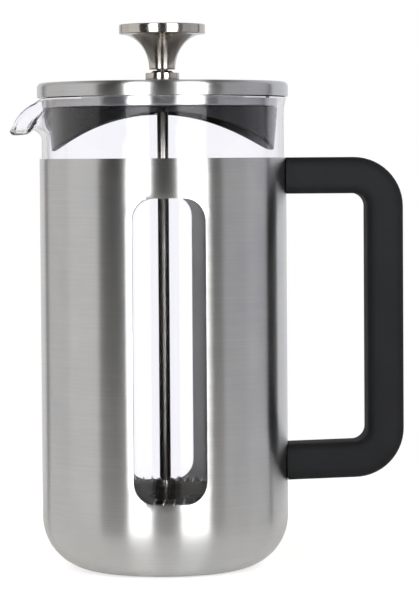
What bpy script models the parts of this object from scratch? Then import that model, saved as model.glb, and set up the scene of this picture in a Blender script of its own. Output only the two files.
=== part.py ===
"""French press: a glass beaker in a windowed steel sleeve, with a D-handle, a lid and a plunger.

Metres, +Z up. The origin is the centre of the sleeve's flat base. The spout points to -X, the
handle to +X, and the two windows face -Y and +Y. The plunger is pressed fully down.
"""

import math

import bmesh
import bpy

# ---------------------------------------------------------------- driving dimensions
GAP = 0.0003  # clearance between pieces that rest on each other
SIDES = 40  # facets round a large turned piece
SMALL_SIDES = 20  # facets round a small one

SLEEVE_RADIUS = 0.0510
SLEEVE_HEIGHT = 0.1700
SLEEVE_WALL = 0.0006
CORNER_RADIUS = 0.0220  # where the sleeve's wall turns into its base
WINDOW_WIDTH = 0.0294
WINDOW_LOW = 0.0315
WINDOW_HIGH = 0.1540
WINDOW_CORNER = 0.0090

CUSHION_RADIUS = 0.0240
CUSHION_THICKNESS = 0.0020

GLASS_WALL = 0.0020
GLASS_TOP = 0.1948
RIM_FLARE = 0.0011  # how far the rim stands out from the wall
RIM_RISE = 0.0050  # height over which the rim flares
SPOUT_REACH = 0.0634  # radius at the spout's tip
SPOUT_TIP_Z = 0.1815
SPOUT_HALF_ANGLE = math.radians(20.0)
SPOUT_START_Z = 0.1760  # the wall is plain below this
SPOUT_FLOOR_DROP = 0.0006  # how far the lip's floor lies under its tip
LIP_EVEN_FALL = 0.45  # share of the lip's fall that runs evenly from the rim to the tip
LIP_LATE_POWER = 4  # how late the rest of the fall comes
LIP_BLEND = 4.0  # how fast the fall fades in from the spout's sides
LIP_LEVEL = 0.75  # how nearly level the lip ends at its middle

HANDLE_REACH = 0.0990
HANDLE_WIDTH = 0.0220
BAR = 0.0150  # thickness of the handle's bar, seen from the side
HANDLE_TOP = 0.1700
HANDLE_BOTTOM = 0.0372
HANDLE_OUTER_CORNER = 0.0205
HANDLE_EDGE = 0.0040
STUD_RADIUS = 0.0035
STUD_LENGTH = 0.0125
HANDLE_SCREW_RADIUS = 0.0015
HANDLE_SCREW_PLACE = 0.6  # where the screw meets its stud, as a share of the stud's length
HANDLE_SCREW_SUNK = 0.0005  # how far the screw's end stays above the arm's underside
SEAT_OVERLAP = 0.0080  # how far the outline runs past the sleeve's wall before it is cut back

LID_RADIUS = 0.05185
LID_TOP = 0.2012
LID_LOW = 0.1952
LID_CORNER = 0.0020
STEEL_SHEET = 0.0006
PLUG_RADIUS = 0.0475  # the band and the skirt that go down inside the glass
BAND_LOW = 0.1910
RECESS_RADIUS = 0.0160  # raised middle of the liner, which hides the nut
RECESS_TOP = 0.1971
RECESS_SLOPE = 0.0030  # how much narrower the raised middle is at its top

SKIRT_WALL = 0.0015
SKIRT_WEB = 0.0011
SKIRT_MIDDLE = 0.1809  # the wavy edge is SKIRT_MIDDLE plus or minus SKIRT_WAVE
SKIRT_WAVE = 0.0077
SKIRT_DRAFT = 0.0016  # how far the skirt leans in at its lowest point
SKIRT_SCREWS = 3
SKIRT_SCREW_RADIUS = 0.0012
SKIRT_SCREW_CIRCLE = 0.0300
SKIRT_SCREW_LENGTH = 0.0035
SKIRT_HEAD_RADIUS = 0.0024
SKIRT_HEAD_HEIGHT = 0.0007

COLLAR_RADIUS = 0.0070
COLLAR_TOP = 0.2061
COLLAR_EDGE_Z = 0.2052  # top of the collar's upright wall
COLLAR_CONE = 0.0051  # radius at the foot of the cone on top of the collar
COLLAR_LAND = 0.0003  # flat ring left between the cone and the collar's bore
SPIGOT_RADIUS = 0.0047
BUSH_WALL = 0.0006
WASHER_RADIUS = 0.0088
WASHER_SHEET = 0.0008
NUT_RADIUS = 0.0078  # to the hexagon's corners
NUT_HEIGHT = 0.0026

ROD_RADIUS = 0.0023
THREAD_RADIUS = 0.0020
KNOB_LOW = 0.2066
KNOB_TOP = 0.2252
KNOB_NECK = 0.0054
KNOB_RADIUS = 0.0178
KNOB_DISC = 0.0040
KNOB_EDGE = 0.0006  # chamfer round the disc's top
KNOB_STEP_IN = 0.0002  # small step where the flare meets the disc
KNOB_STEP_UP = 0.0004
KNOB_COUNTERBORE = 0.0011  # depth to which the rod's full width goes into the neck
KNOB_BORE = 0.0093
ROD_INTO_KNOB = 0.0090
ROD_SHOULDER_UP = 0.0008  # where the rod's full width ends, above the knob's lower end

COIL_RADIUS = 0.0031
COIL_Z = 0.0303
COIL_OUTSIDE = 0.0478
PLATE_Z = 0.0274
PLATE_SHEET = 0.0006
DISH_RADIUS = 0.0360
DISH_SLOPE = 0.0040  # how much wider the dish is at its top
HOLE_CIRCLE = 0.0230  # where the holes of both plates are drilled
PLATE_HOLES = 8
PLATE_HOLE_RADIUS = 0.0055
CROSS_HOLES = 6
CROSS_HOLE_RADIUS = 0.0105
COIL_SIDES = 8
MESH_Z = 0.0266
MESH_SHEET = 0.0005
MESH_RADIUS = 0.0469
CROSS_Z = 0.0254
CROSS_SHEET = 0.0009
CROSS_RADIUS = 0.0400
HUB_RADIUS = 0.0041
HUB_TOP = 0.0375
HUB_DOME = 0.0018
LOCK_NUT_LOW = 0.0226
LOCK_NUT_RADIUS = 0.0045  # to the hexagon's corners
DRILL_DEPTH = 0.0060

# ---------------------------------------------------------------- places worked out from them
SLEEVE_INSIDE = SLEEVE_RADIUS - SLEEVE_WALL
FLAT_RADIUS = SLEEVE_RADIUS - CORNER_RADIUS
GLASS_RADIUS = SLEEVE_INSIDE - GAP
GLASS_BOTTOM = SLEEVE_WALL + CUSHION_THICKNESS + 2 * GAP
GLASS_CORNER = GLASS_RADIUS - FLAT_RADIUS
HANDLE_ROOT = SLEEVE_RADIUS + GAP
ARM_UPPER_Z = HANDLE_TOP - BAR / 2
ARM_LOWER_Z = HANDLE_BOTTOM + BAR / 2
SCREW_X = HANDLE_ROOT + HANDLE_SCREW_PLACE * STUD_LENGTH
LID_HOLE = SPIGOT_RADIUS + GAP
SKIRT_TOP = BAND_LOW - GAP
SKIRT_SCREW_HOLE = SKIRT_SCREW_RADIUS + GAP
BUSH_INSIDE = ROD_RADIUS + GAP
COLLAR_BORE = BUSH_INSIDE + BUSH_WALL + GAP
THREAD_HOLE = THREAD_RADIUS + GAP


# ---------------------------------------------------------------- helpers
def clear_scene():
    """Removes every object that the scene starts with."""
    for obj in list(bpy.data.objects):
        bpy.data.objects.remove(obj, do_unlink=True)


def new_collection(name):
    collection = bpy.data.collections.new(name)
    bpy.context.scene.collection.children.link(collection)
    return collection


def new_material(name, colour, roughness, metallic=0.0, alpha=1.0):
    """A Principled material of one colour."""
    material = bpy.data.materials.new(name)
    material.use_nodes = True
    shader = material.node_tree.nodes["Principled BSDF"]
    shader.inputs["Base Color"].default_value = (*colour, 1.0)
    shader.inputs["Roughness"].default_value = roughness
    shader.inputs["Metallic"].default_value = metallic
    shader.inputs["Alpha"].default_value = alpha
    material.diffuse_color = (*colour, alpha)
    return material


def new_axis(name, parent=None):
    """An empty on the object's axis, which carries one group of pieces that moves together."""
    axis = bpy.data.objects.new(name, None)
    axis.empty_display_size = 0.02
    axis.parent = parent
    PARTS.objects.link(axis)
    return axis


def place(name, mesh, material, axis, height=0.0):
    """Puts a mesh in the scene as a piece of the assembly, at a height above the base."""
    obj = bpy.data.objects.new(name, mesh)
    mesh.materials.append(material)
    obj.location.z = height
    obj.parent = axis
    PARTS.objects.link(obj)
    return obj


def arc(centre, radius, start, end, steps):
    """Points on an arc, both ends included, as (across, up) pairs. Angles are in degrees."""
    points = []
    for step in range(steps + 1):
        angle = math.radians(start + (end - start) * step / steps)
        across = centre[0] + radius * math.cos(angle)
        up = centre[1] + radius * math.sin(angle)
        points.append((across, up))
    return points


def turned(name, profile, material, axis, sides=SIDES, height=0.0):
    """A turned piece. The profile's (radius, height) points go down its outer side.

    A profile that starts and ends on the axis makes a solid piece, and any other is a closed
    outline that makes a ring.
    """
    mesh = bpy.data.meshes.new(name)
    points = [(radius, 0.0, up) for radius, up in profile]
    edges = [(i, i + 1) for i in range(len(points) - 1)]
    if profile[0][0] > 0.0:
        edges.append((len(points) - 1, 0))
    mesh.from_pydata(points, edges, [])
    obj = place(name, mesh, material, axis, height)
    screw = obj.modifiers.new("turn", "SCREW")
    screw.steps = sides
    screw.render_steps = sides
    screw.use_merge_vertices = True
    screw.merge_threshold = 0.00001
    screw.use_smooth_shade = True
    return obj


def ring(name, inside, outside, low, high, material, axis, sides=SIDES):
    """A plain washer, tube or disc with a hole."""
    thickness = high - low
    profile = [(outside, thickness), (outside, 0.0), (inside, 0.0), (inside, thickness)]
    return turned(name, profile, material, axis, sides, low)


def rod_mesh(name, radius, length, sides):
    """A straight bar along its own Z axis, centred on its origin."""
    mesh = bpy.data.meshes.new(name)
    shape = bmesh.new()
    bmesh.ops.create_cone(
        shape, cap_ends=True, segments=sides, radius1=radius, radius2=radius, depth=length
    )
    shape.to_mesh(mesh)
    shape.free()
    return mesh


def cutter(name, mesh, location, turn=(0.0, 0.0, 0.0)):
    """A helper that a Boolean takes away from a piece."""
    obj = bpy.data.objects.new(name, mesh)
    obj.location = location
    obj.rotation_euler = turn
    obj.hide_render = True
    obj.display_type = "WIRE"
    CUTTERS.objects.link(obj)
    return obj


def cut(piece, tool):
    """Takes the tool's shape away from the piece."""
    boolean = piece.modifiers.new("cut " + tool.name, "BOOLEAN")
    boolean.operation = "DIFFERENCE"
    boolean.solver = "EXACT"
    boolean.object = tool


def holes_mesh(name, radius, circle, count, depth, sides, first=0.0):
    """Bars along Z set out on a circle, to drill a ring of holes."""
    mesh = bpy.data.meshes.new(name)
    shape = bmesh.new()
    for number in range(count):
        made = bmesh.ops.create_cone(
            shape, cap_ends=True, segments=sides, radius1=radius, radius2=radius, depth=depth
        )
        angle = first + 2 * math.pi * number / count
        shift = (circle * math.cos(angle), circle * math.sin(angle), 0.0)
        bmesh.ops.translate(shape, verts=made["verts"], vec=shift)
    shape.to_mesh(mesh)
    shape.free()
    return mesh


# ---------------------------------------------------------------- sleeve
def make_sleeve(steel, axis):
    """A deep-drawn cup with a round base corner, and one window through the front and the back."""
    outside = [(SLEEVE_RADIUS, SLEEVE_HEIGHT)]
    outside += arc((FLAT_RADIUS, CORNER_RADIUS), CORNER_RADIUS, 0, -90, 5)
    inside = arc((FLAT_RADIUS, CORNER_RADIUS), CORNER_RADIUS - SLEEVE_WALL, -90, 0, 5)
    inside += [(SLEEVE_INSIDE, SLEEVE_HEIGHT)]
    # The profile starts at the middle of the floor's upper face and ends at its lower face.
    profile = [(0.0, SLEEVE_WALL)] + inside + outside + [(0.0, 0.0)]
    sleeve = turned("steel_sleeve", profile, steel, axis)

    mesh = bpy.data.meshes.new("window_cutter")
    shape = bmesh.new()
    bmesh.ops.create_cube(shape, size=1.0)
    height = WINDOW_HIGH - WINDOW_LOW
    bmesh.ops.scale(shape, vec=(WINDOW_WIDTH, 3 * SLEEVE_RADIUS, height), verts=shape.verts)
    along = [e for e in shape.edges if abs(e.verts[0].co.y - e.verts[1].co.y) > SLEEVE_RADIUS]
    bmesh.ops.bevel(
        shape, geom=along, offset=WINDOW_CORNER, segments=4, profile=0.5, affect="EDGES", material=-1
    )
    shape.to_mesh(mesh)
    shape.free()
    cut(sleeve, cutter("window_cutter", mesh, (0.0, 0.0, (WINDOW_LOW + WINDOW_HIGH) / 2)))


def make_cushion(silicone, axis):
    low = SLEEVE_WALL + GAP
    profile = [(0.0, CUSHION_THICKNESS), (CUSHION_RADIUS, CUSHION_THICKNESS)]
    profile += [(CUSHION_RADIUS, 0.0), (0.0, 0.0)]
    turned("base_cushion", profile, silicone, axis, SMALL_SIDES, low)


# ---------------------------------------------------------------- handle
def handle_outline():
    """The D's outline as (outward, up) points. Its two ends run in past the sleeve's wall."""
    inset = HANDLE_OUTER_CORNER
    inner = HANDLE_OUTER_CORNER - BAR
    corner_x = HANDLE_REACH - inset
    top_z = HANDLE_TOP - inset
    low_z = HANDLE_BOTTOM + inset
    start = SLEEVE_RADIUS - SEAT_OVERLAP
    points = [(start, HANDLE_TOP)]
    points += arc((corner_x, top_z), inset, 90, 0, 6)
    points += arc((corner_x, low_z), inset, 0, -90, 6)
    points += [(start, HANDLE_BOTTOM), (start, HANDLE_BOTTOM + BAR)]
    points += arc((corner_x, low_z), inner, -90, 0, 3)
    points += arc((corner_x, top_z), inner, 0, 90, 3)
    points += [(start, HANDLE_TOP - BAR)]
    return points


def make_handle(plastic, axis):
    """A flat D with rounded edges, hollowed at its ends to fit the sleeve, studs and screws."""
    curve = bpy.data.curves.new("handle_outline", "CURVE")
    curve.dimensions = "2D"
    curve.fill_mode = "BOTH"
    curve.extrude = HANDLE_WIDTH / 2
    outline = handle_outline()
    spline = curve.splines.new("POLY")
    spline.points.add(len(outline) - 1)
    for point, (across, up) in zip(spline.points, outline):
        point.co = (across, up, 0.0, 1.0)
    spline.use_cyclic_u = True
    drawn = bpy.data.objects.new("handle_outline", curve)
    drawn.rotation_euler.x = math.pi / 2
    PARTS.objects.link(drawn)
    bpy.context.view_layer.update()
    graph = bpy.context.evaluated_depsgraph_get()
    mesh = bpy.data.meshes.new_from_object(drawn.evaluated_get(graph))
    shape = bmesh.new()
    shape.from_mesh(mesh)
    bmesh.ops.remove_doubles(shape, verts=shape.verts, dist=0.00001)
    bmesh.ops.dissolve_limit(shape, angle_limit=0.02, verts=shape.verts, edges=shape.edges)
    shape.to_mesh(mesh)
    shape.free()
    handle = place("handle", mesh, plastic, axis)
    handle.matrix_world = drawn.matrix_world
    bpy.data.objects.remove(drawn)

    edge = handle.modifiers.new("rounded edges", "BEVEL")
    edge.width = HANDLE_EDGE
    edge.segments = 3
    edge.limit_method = "ANGLE"
    edge.angle_limit = math.radians(60)
    body = rod_mesh("handle_seat_cutter", HANDLE_ROOT, SLEEVE_HEIGHT, SIDES)
    cut(handle, cutter("handle_seat_cutter", body, (0.0, 0.0, (HANDLE_TOP + HANDLE_BOTTOM) / 2)))
    for place_name, arm_z in (("upper", ARM_UPPER_Z), ("lower", ARM_LOWER_Z)):
        bore = rod_mesh("stud_bore_" + place_name, STUD_RADIUS + GAP, 2 * STUD_LENGTH, 16)
        cut(handle, cutter(bore.name, bore, (HANDLE_ROOT + GAP, 0.0, arm_z), (0, math.pi / 2, 0)))
        hole = rod_mesh("screw_hole_" + place_name, HANDLE_SCREW_RADIUS + GAP, BAR, 12)
        cut(handle, cutter(hole.name, hole, (SCREW_X, 0.0, arm_z - BAR / 2), (0, 0, 0)))


def make_handle_fasteners(steel, axis):
    """A stud welded to the sleeve in each arm, and a screw up through the arm that locks it."""
    for place_name, arm_z in (("upper", ARM_UPPER_Z), ("lower", ARM_LOWER_Z)):
        stud = place(
            "handle_stud_" + place_name,
            rod_mesh("handle_stud_" + place_name, STUD_RADIUS, STUD_LENGTH - GAP, 16),
            steel,
            axis,
            arm_z,
        )
        stud.location.x = HANDLE_ROOT + (STUD_LENGTH + GAP) / 2
        stud.rotation_euler.y = math.pi / 2
        length = BAR / 2 - STUD_RADIUS - GAP - HANDLE_SCREW_SUNK
        name = "handle_screw_" + place_name
        screw = place(name, rod_mesh(name, HANDLE_SCREW_RADIUS, length, 12), steel, axis)
        screw.location = (SCREW_X, 0.0, arm_z - STUD_RADIUS - GAP - length / 2)


# ---------------------------------------------------------------- beaker
def spout_pull(angle):
    """How far the rim is pulled out at this angle from the spout's middle: 1 there, 0 at its sides."""
    share = min(abs(angle) / SPOUT_HALF_ANGLE, 1.0)
    return 0.5 * (1.0 + math.cos(math.pi * share))


def spout_point(angle, share):
    """(radius, height) on the outer wall, from SPOUT_START_Z at share 0 up to the rim at share 1."""
    pull = spout_pull(angle)
    rim_radius = GLASS_RADIUS + RIM_FLARE
    rim_radius += (SPOUT_REACH - rim_radius) * pull
    # Seen from the side, the lip runs from the rim to the tip in one falling curve.
    side_start = (GLASS_RADIUS + RIM_FLARE) * math.cos(SPOUT_HALF_ANGLE)
    reach = (rim_radius * math.cos(angle) - side_start) / (SPOUT_REACH - side_start)
    fall = LIP_EVEN_FALL * reach + (1.0 - LIP_EVEN_FALL) * reach**LIP_LATE_POWER
    rim_z = GLASS_TOP - (GLASS_TOP - SPOUT_TIP_Z) * fall * min(1.0, LIP_BLEND * pull)
    floor_z = SPOUT_TIP_Z - SPOUT_FLOOR_DROP
    knee_z = floor_z * pull + (GLASS_TOP - RIM_RISE) * (1.0 - pull)
    # The plain rim ends upright, and the spout's lip ends nearly level.
    knee_radius = GLASS_RADIUS + (1.0 - LIP_LEVEL * pull) * (rim_radius - GLASS_RADIUS)
    corners = [
        (GLASS_RADIUS, SPOUT_START_Z),
        (GLASS_RADIUS, knee_z),
        (knee_radius, knee_z),
        (rim_radius, rim_z),
    ]
    rest = 1.0 - share
    weights = (rest**3, 3 * rest**2 * share, 3 * rest * share**2, share**3)
    radius = sum(weight * corner[0] for weight, corner in zip(weights, corners))
    height = sum(weight * corner[1] for weight, corner in zip(weights, corners))
    return radius, height


def beaker_angles():
    """The angles of the beaker's columns, measured from the spout and finer over it."""
    step = 2 * math.pi / SIDES
    angles = [step * number for number in range(SIDES)]
    fine = [step * (number + 0.5) for number in (-2, -1, 0, 1)]
    angles += [angle % (2 * math.pi) for angle in fine]
    return sorted(angles)


def make_beaker(glass, axis):
    """The outer wall is laid out column by column round the axis, and Solidify gives it thickness."""
    column = [(0.0, GLASS_BOTTOM)]
    column += arc((FLAT_RADIUS, GLASS_BOTTOM + GLASS_CORNER), GLASS_CORNER, -90, 0, 5)
    shares = [0.0, 0.3, 0.5, 0.7, 0.85, 1.0]
    mesh = bpy.data.meshes.new("glass_beaker")
    shape = bmesh.new()
    angles = beaker_angles()
    grid = []
    for angle in angles:
        signed = angle if angle <= math.pi else angle - 2 * math.pi
        points = column + [spout_point(signed, share) for share in shares]
        turn = math.pi + angle
        grid.append([shape.verts.new((r * math.cos(turn), r * math.sin(turn), z)) for r, z in points])
    for here, there in zip(grid, grid[1:] + grid[:1]):
        for row in range(len(here) - 1):
            shape.faces.new((here[row], there[row], there[row + 1], here[row + 1]))
    bmesh.ops.remove_doubles(shape, verts=shape.verts, dist=0.00001)
    bmesh.ops.recalc_face_normals(shape, faces=shape.faces)
    shape.to_mesh(mesh)
    shape.free()
    mesh.shade_smooth()
    beaker = place("glass_beaker", mesh, glass, axis)
    wall = beaker.modifiers.new("wall", "SOLIDIFY")
    wall.thickness = GLASS_WALL
    wall.offset = -1.0
    wall.use_even_offset = True


# ---------------------------------------------------------------- lid
def make_lid_cap(steel, axis):
    """A flat pressed cap with a rounded shoulder, open underneath."""
    shoulder = (LID_RADIUS - LID_CORNER, LID_TOP - LID_CORNER)
    profile = [(LID_HOLE, LID_TOP)]
    profile += arc(shoulder, LID_CORNER, 90, 0, 3)
    profile += [(LID_RADIUS, LID_LOW), (LID_RADIUS - STEEL_SHEET, LID_LOW)]
    profile += arc(shoulder, LID_CORNER - STEEL_SHEET, 0, 90, 2)
    profile += [(LID_HOLE, LID_TOP - STEEL_SHEET)]
    turned("lid_cap", profile, steel, axis)


def skirt_screw_drill(name, height):
    """Drills the ring of holes for the skirt's screws, at a height above the base."""
    mesh = holes_mesh(
        name, SKIRT_SCREW_HOLE, SKIRT_SCREW_CIRCLE, SKIRT_SCREWS, DRILL_DEPTH, 10, math.pi / 2
    )
    return cutter(name, mesh, (0.0, 0.0, height))


def make_lid_liner(steel, axis):
    """A pan that hangs inside the glass. Its flange lies on the rim, and its middle is raised."""
    flange = LID_RADIUS - STEEL_SHEET - GAP
    flange_low = GLASS_TOP + GAP
    flange_top = flange_low + STEEL_SHEET
    inside = PLUG_RADIUS - STEEL_SHEET
    profile = [
        (flange, flange_top),
        (flange, flange_low),
        (PLUG_RADIUS, flange_low),
        (PLUG_RADIUS, BAND_LOW),
        (RECESS_RADIUS, BAND_LOW),
        (RECESS_RADIUS - RECESS_SLOPE, RECESS_TOP - STEEL_SHEET),
        (LID_HOLE, RECESS_TOP - STEEL_SHEET),
        (LID_HOLE, RECESS_TOP),
        (RECESS_RADIUS - RECESS_SLOPE + STEEL_SHEET, RECESS_TOP),
        (RECESS_RADIUS + STEEL_SHEET, BAND_LOW + STEEL_SHEET),
        (inside, BAND_LOW + STEEL_SHEET),
        (inside, flange_top),
    ]
    liner = turned("lid_liner", profile, steel, axis)
    cut(liner, skirt_screw_drill("liner_drill", BAND_LOW))


def skirt_edge(angle):
    """Height of the skirt's lower edge. It hangs low towards the spout and the handle."""
    return SKIRT_MIDDLE - SKIRT_WAVE * math.cos(2 * angle)


def make_lid_skirt(plastic, axis):
    """A web under the liner with a wall round it, whose lower edge is a wave."""
    lowest = SKIRT_MIDDLE - SKIRT_WAVE
    mesh = bpy.data.meshes.new("lid_skirt")
    shape = bmesh.new()
    hole = RECESS_RADIUS + GAP
    columns = []
    for number in range(SIDES):
        angle = 2 * math.pi * number / SIDES
        edge = skirt_edge(angle)
        lean = SKIRT_DRAFT * (SKIRT_TOP - edge) / (SKIRT_TOP - lowest)
        points = [
            (PLUG_RADIUS, SKIRT_TOP),
            (PLUG_RADIUS - lean, edge),
            (PLUG_RADIUS - lean - SKIRT_WALL, edge),
            (PLUG_RADIUS - SKIRT_WALL, SKIRT_TOP - SKIRT_WEB),
            (hole, SKIRT_TOP - SKIRT_WEB),
            (hole, SKIRT_TOP),
        ]
        across = (math.cos(angle), math.sin(angle))
        columns.append([shape.verts.new((r * across[0], r * across[1], z)) for r, z in points])
    for here, there in zip(columns, columns[1:] + columns[:1]):
        for row in range(len(here)):
            after = (row + 1) % len(here)
            shape.faces.new((here[row], here[after], there[after], there[row]))
    bmesh.ops.recalc_face_normals(shape, faces=shape.faces)
    shape.to_mesh(mesh)
    shape.free()
    skirt = place("lid_skirt", mesh, plastic, axis)
    cut(skirt, skirt_screw_drill("skirt_drill", SKIRT_TOP))


def make_skirt_screws(steel, axis):
    """Flat-headed screws that go up through the skirt's web into the liner."""
    head_low = SKIRT_TOP - SKIRT_WEB - GAP - SKIRT_HEAD_HEIGHT
    profile = [
        (0.0, SKIRT_SCREW_LENGTH),
        (SKIRT_SCREW_RADIUS, SKIRT_SCREW_LENGTH),
        (SKIRT_SCREW_RADIUS, SKIRT_HEAD_HEIGHT),
        (SKIRT_HEAD_RADIUS, SKIRT_HEAD_HEIGHT),
        (SKIRT_HEAD_RADIUS, 0.0),
        (0.0, 0.0),
    ]
    for number in range(SKIRT_SCREWS):
        angle = math.pi / 2 + 2 * math.pi * number / SKIRT_SCREWS
        screw = turned(f"skirt_screw_{number + 1}", profile, steel, axis, 10, head_low)
        screw.location.x = SKIRT_SCREW_CIRCLE * math.cos(angle)
        screw.location.y = SKIRT_SCREW_CIRCLE * math.sin(angle)


def make_guide(steel, nylon, axis):
    """The collar that guides the rod, its liner, and the washer and nut that clamp it."""
    low = LID_TOP + GAP
    profile = [
        (COLLAR_BORE, COLLAR_TOP),
        (COLLAR_BORE + COLLAR_LAND, COLLAR_TOP),
        (COLLAR_CONE, COLLAR_EDGE_Z),
        (COLLAR_RADIUS, COLLAR_EDGE_Z),
        (COLLAR_RADIUS, low),
        (SPIGOT_RADIUS, low),
        (SPIGOT_RADIUS, BAND_LOW),
        (COLLAR_BORE, BAND_LOW),
    ]
    turned("guide_collar", profile, steel, axis, SMALL_SIDES)
    bush_outside = COLLAR_BORE - GAP
    ring("guide_bush", BUSH_INSIDE, bush_outside, BAND_LOW, COLLAR_TOP, nylon, axis, SMALL_SIDES)
    washer_top = RECESS_TOP - STEEL_SHEET - GAP
    washer_low = washer_top - WASHER_SHEET
    ring("guide_washer", LID_HOLE, WASHER_RADIUS, washer_low, washer_top, steel, axis, SMALL_SIDES)
    middle = washer_low - GAP - NUT_HEIGHT / 2
    nut = place("guide_nut", rod_mesh("guide_nut", NUT_RADIUS, NUT_HEIGHT, 6), steel, axis, middle)
    bore = rod_mesh("guide_nut_bore", LID_HOLE, 2 * NUT_HEIGHT, SMALL_SIDES)
    cut(nut, cutter("guide_nut_bore", bore, (0.0, 0.0, middle)))


# ---------------------------------------------------------------- plunger
def make_rod(steel, axis):
    """A straight rod with a thinner threaded length at each end."""
    low = LOCK_NUT_LOW + GAP
    shoulder_low = HUB_TOP + GAP
    shoulder_high = KNOB_LOW + ROD_SHOULDER_UP
    top = KNOB_LOW + ROD_INTO_KNOB
    profile = [
        (0.0, top),
        (THREAD_RADIUS, top),
        (THREAD_RADIUS, shoulder_high),
        (ROD_RADIUS, shoulder_high),
        (ROD_RADIUS, shoulder_low),
        (THREAD_RADIUS, shoulder_low),
        (THREAD_RADIUS, low),
        (0.0, low),
    ]
    turned("plunger_rod", profile, steel, axis, 16)


def make_knob(steel, axis):
    """A neck that flares in a quarter ellipse to a flat disc, bored from below for the rod."""
    height = KNOB_TOP - KNOB_LOW
    disc_low = height - KNOB_DISC
    flare = KNOB_RADIUS - KNOB_STEP_IN - KNOB_NECK
    counterbore = ROD_RADIUS + GAP
    profile = [(0.0, height), (KNOB_RADIUS - KNOB_EDGE, height), (KNOB_RADIUS, height - KNOB_EDGE)]
    profile += [(KNOB_RADIUS, disc_low + KNOB_STEP_UP)]
    steps = 8
    for step in range(steps + 1):
        angle = math.pi / 2 * (1 - step / steps)
        radius = KNOB_NECK + flare * (1 - math.cos(angle))
        profile.append((radius, disc_low * math.sin(angle)))
    profile += [(counterbore, 0.0), (counterbore, KNOB_COUNTERBORE)]
    profile += [(THREAD_HOLE, KNOB_COUNTERBORE), (THREAD_HOLE, KNOB_BORE), (0.0, KNOB_BORE)]
    turned("knob", profile, steel, axis, 32, KNOB_LOW)


# ---------------------------------------------------------------- filter
def make_filter(steel, axis):
    """From the top: hub, dished spring plate with the coil round it, mesh, cross plate, nut."""
    hub_low = PLATE_Z + PLATE_SHEET + GAP
    dome = arc((HUB_RADIUS - HUB_DOME, HUB_TOP - HUB_DOME), HUB_DOME, 90, 0, 3)
    profile = dome + [(HUB_RADIUS, hub_low), (THREAD_HOLE, hub_low), (THREAD_HOLE, HUB_TOP)]
    turned("filter_hub", profile, steel, axis, SMALL_SIDES)

    rim = COIL_OUTSIDE - 2 * COIL_RADIUS - GAP
    shoulder = DISH_RADIUS + DISH_SLOPE
    profile = [
        (rim, COIL_Z + PLATE_SHEET),
        (rim, COIL_Z),
        (shoulder, COIL_Z),
        (DISH_RADIUS, PLATE_Z),
        (THREAD_HOLE, PLATE_Z),
        (THREAD_HOLE, PLATE_Z + PLATE_SHEET),
        (DISH_RADIUS, PLATE_Z + PLATE_SHEET),
        (shoulder, COIL_Z + PLATE_SHEET),
    ]
    plate = turned("spring_plate", profile, steel, axis)
    drill = holes_mesh(
        "plate_drill", PLATE_HOLE_RADIUS, HOLE_CIRCLE, PLATE_HOLES, DRILL_DEPTH, 12
    )
    cut(plate, cutter("plate_drill", drill, (0.0, 0.0, PLATE_Z)))

    last = 90 - 360 * (COIL_SIDES - 1) / COIL_SIDES
    wire = arc((COIL_OUTSIDE - COIL_RADIUS, 0.0), COIL_RADIUS, 90, last, COIL_SIDES - 1)
    turned("rim_coil", wire, steel, axis, SIDES, COIL_Z)
    ring("filter_mesh", THREAD_HOLE, MESH_RADIUS, MESH_Z, MESH_Z + MESH_SHEET, steel, axis)
    cross = ring("cross_plate", THREAD_HOLE, CROSS_RADIUS, CROSS_Z, CROSS_Z + CROSS_SHEET, steel, axis)
    drill = holes_mesh(
        "cross_drill", CROSS_HOLE_RADIUS, HOLE_CIRCLE, CROSS_HOLES, DRILL_DEPTH, 16
    )
    cut(cross, cutter("cross_drill", drill, (0.0, 0.0, CROSS_Z)))

    height = CROSS_Z - GAP - LOCK_NUT_LOW
    middle = LOCK_NUT_LOW + height / 2
    nut = place("lock_nut", rod_mesh("lock_nut", LOCK_NUT_RADIUS, height, 6), steel, axis, middle)
    bore = rod_mesh("lock_nut_bore", THREAD_HOLE, 2 * height, 16)
    cut(nut, cutter("lock_nut_bore", bore, (0.0, 0.0, middle)))


# ---------------------------------------------------------------- assembly
clear_scene()
PARTS = new_collection("french_press")
CUTTERS = new_collection("cutters")

brushed = new_material("brushed stainless", (0.50, 0.50, 0.50), 0.32, 1.0)
polished = new_material("polished stainless", (0.62, 0.60, 0.58), 0.18, 1.0)
wire_steel = new_material("spring wire", (0.45, 0.44, 0.43), 0.30, 1.0)
clear_glass = new_material("borosilicate glass", (0.92, 0.93, 0.95), 0.02, 0.0, 0.3)
handle_black = new_material("soft-touch handle", (0.020, 0.021, 0.023), 0.55)
skirt_black = new_material("black polypropylene", (0.035, 0.035, 0.038), 0.35)
pad_grey = new_material("silicone pad", (0.55, 0.55, 0.55), 0.60)
bush_white = new_material("nylon bush", (0.75, 0.74, 0.70), 0.45)

sleeve_axis = new_axis("sleeve_axis")
beaker_axis = new_axis("beaker_axis", sleeve_axis)
lid_axis = new_axis("lid_axis", beaker_axis)
liner_axis = new_axis("liner_axis", lid_axis)
plunger_axis = new_axis("plunger_axis", lid_axis)
filter_axis = new_axis("filter_axis", plunger_axis)

make_sleeve(brushed, sleeve_axis)
make_cushion(pad_grey, sleeve_axis)
make_handle(handle_black, sleeve_axis)
make_handle_fasteners(polished, sleeve_axis)
make_beaker(clear_glass, beaker_axis)
make_lid_cap(brushed, lid_axis)
make_guide(polished, bush_white, lid_axis)
make_lid_liner(brushed, liner_axis)
make_lid_skirt(skirt_black, liner_axis)
make_skirt_screws(polished, liner_axis)
make_rod(polished, plunger_axis)
make_knob(polished, plunger_axis)
make_filter(wire_steel, filter_axis)
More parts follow.
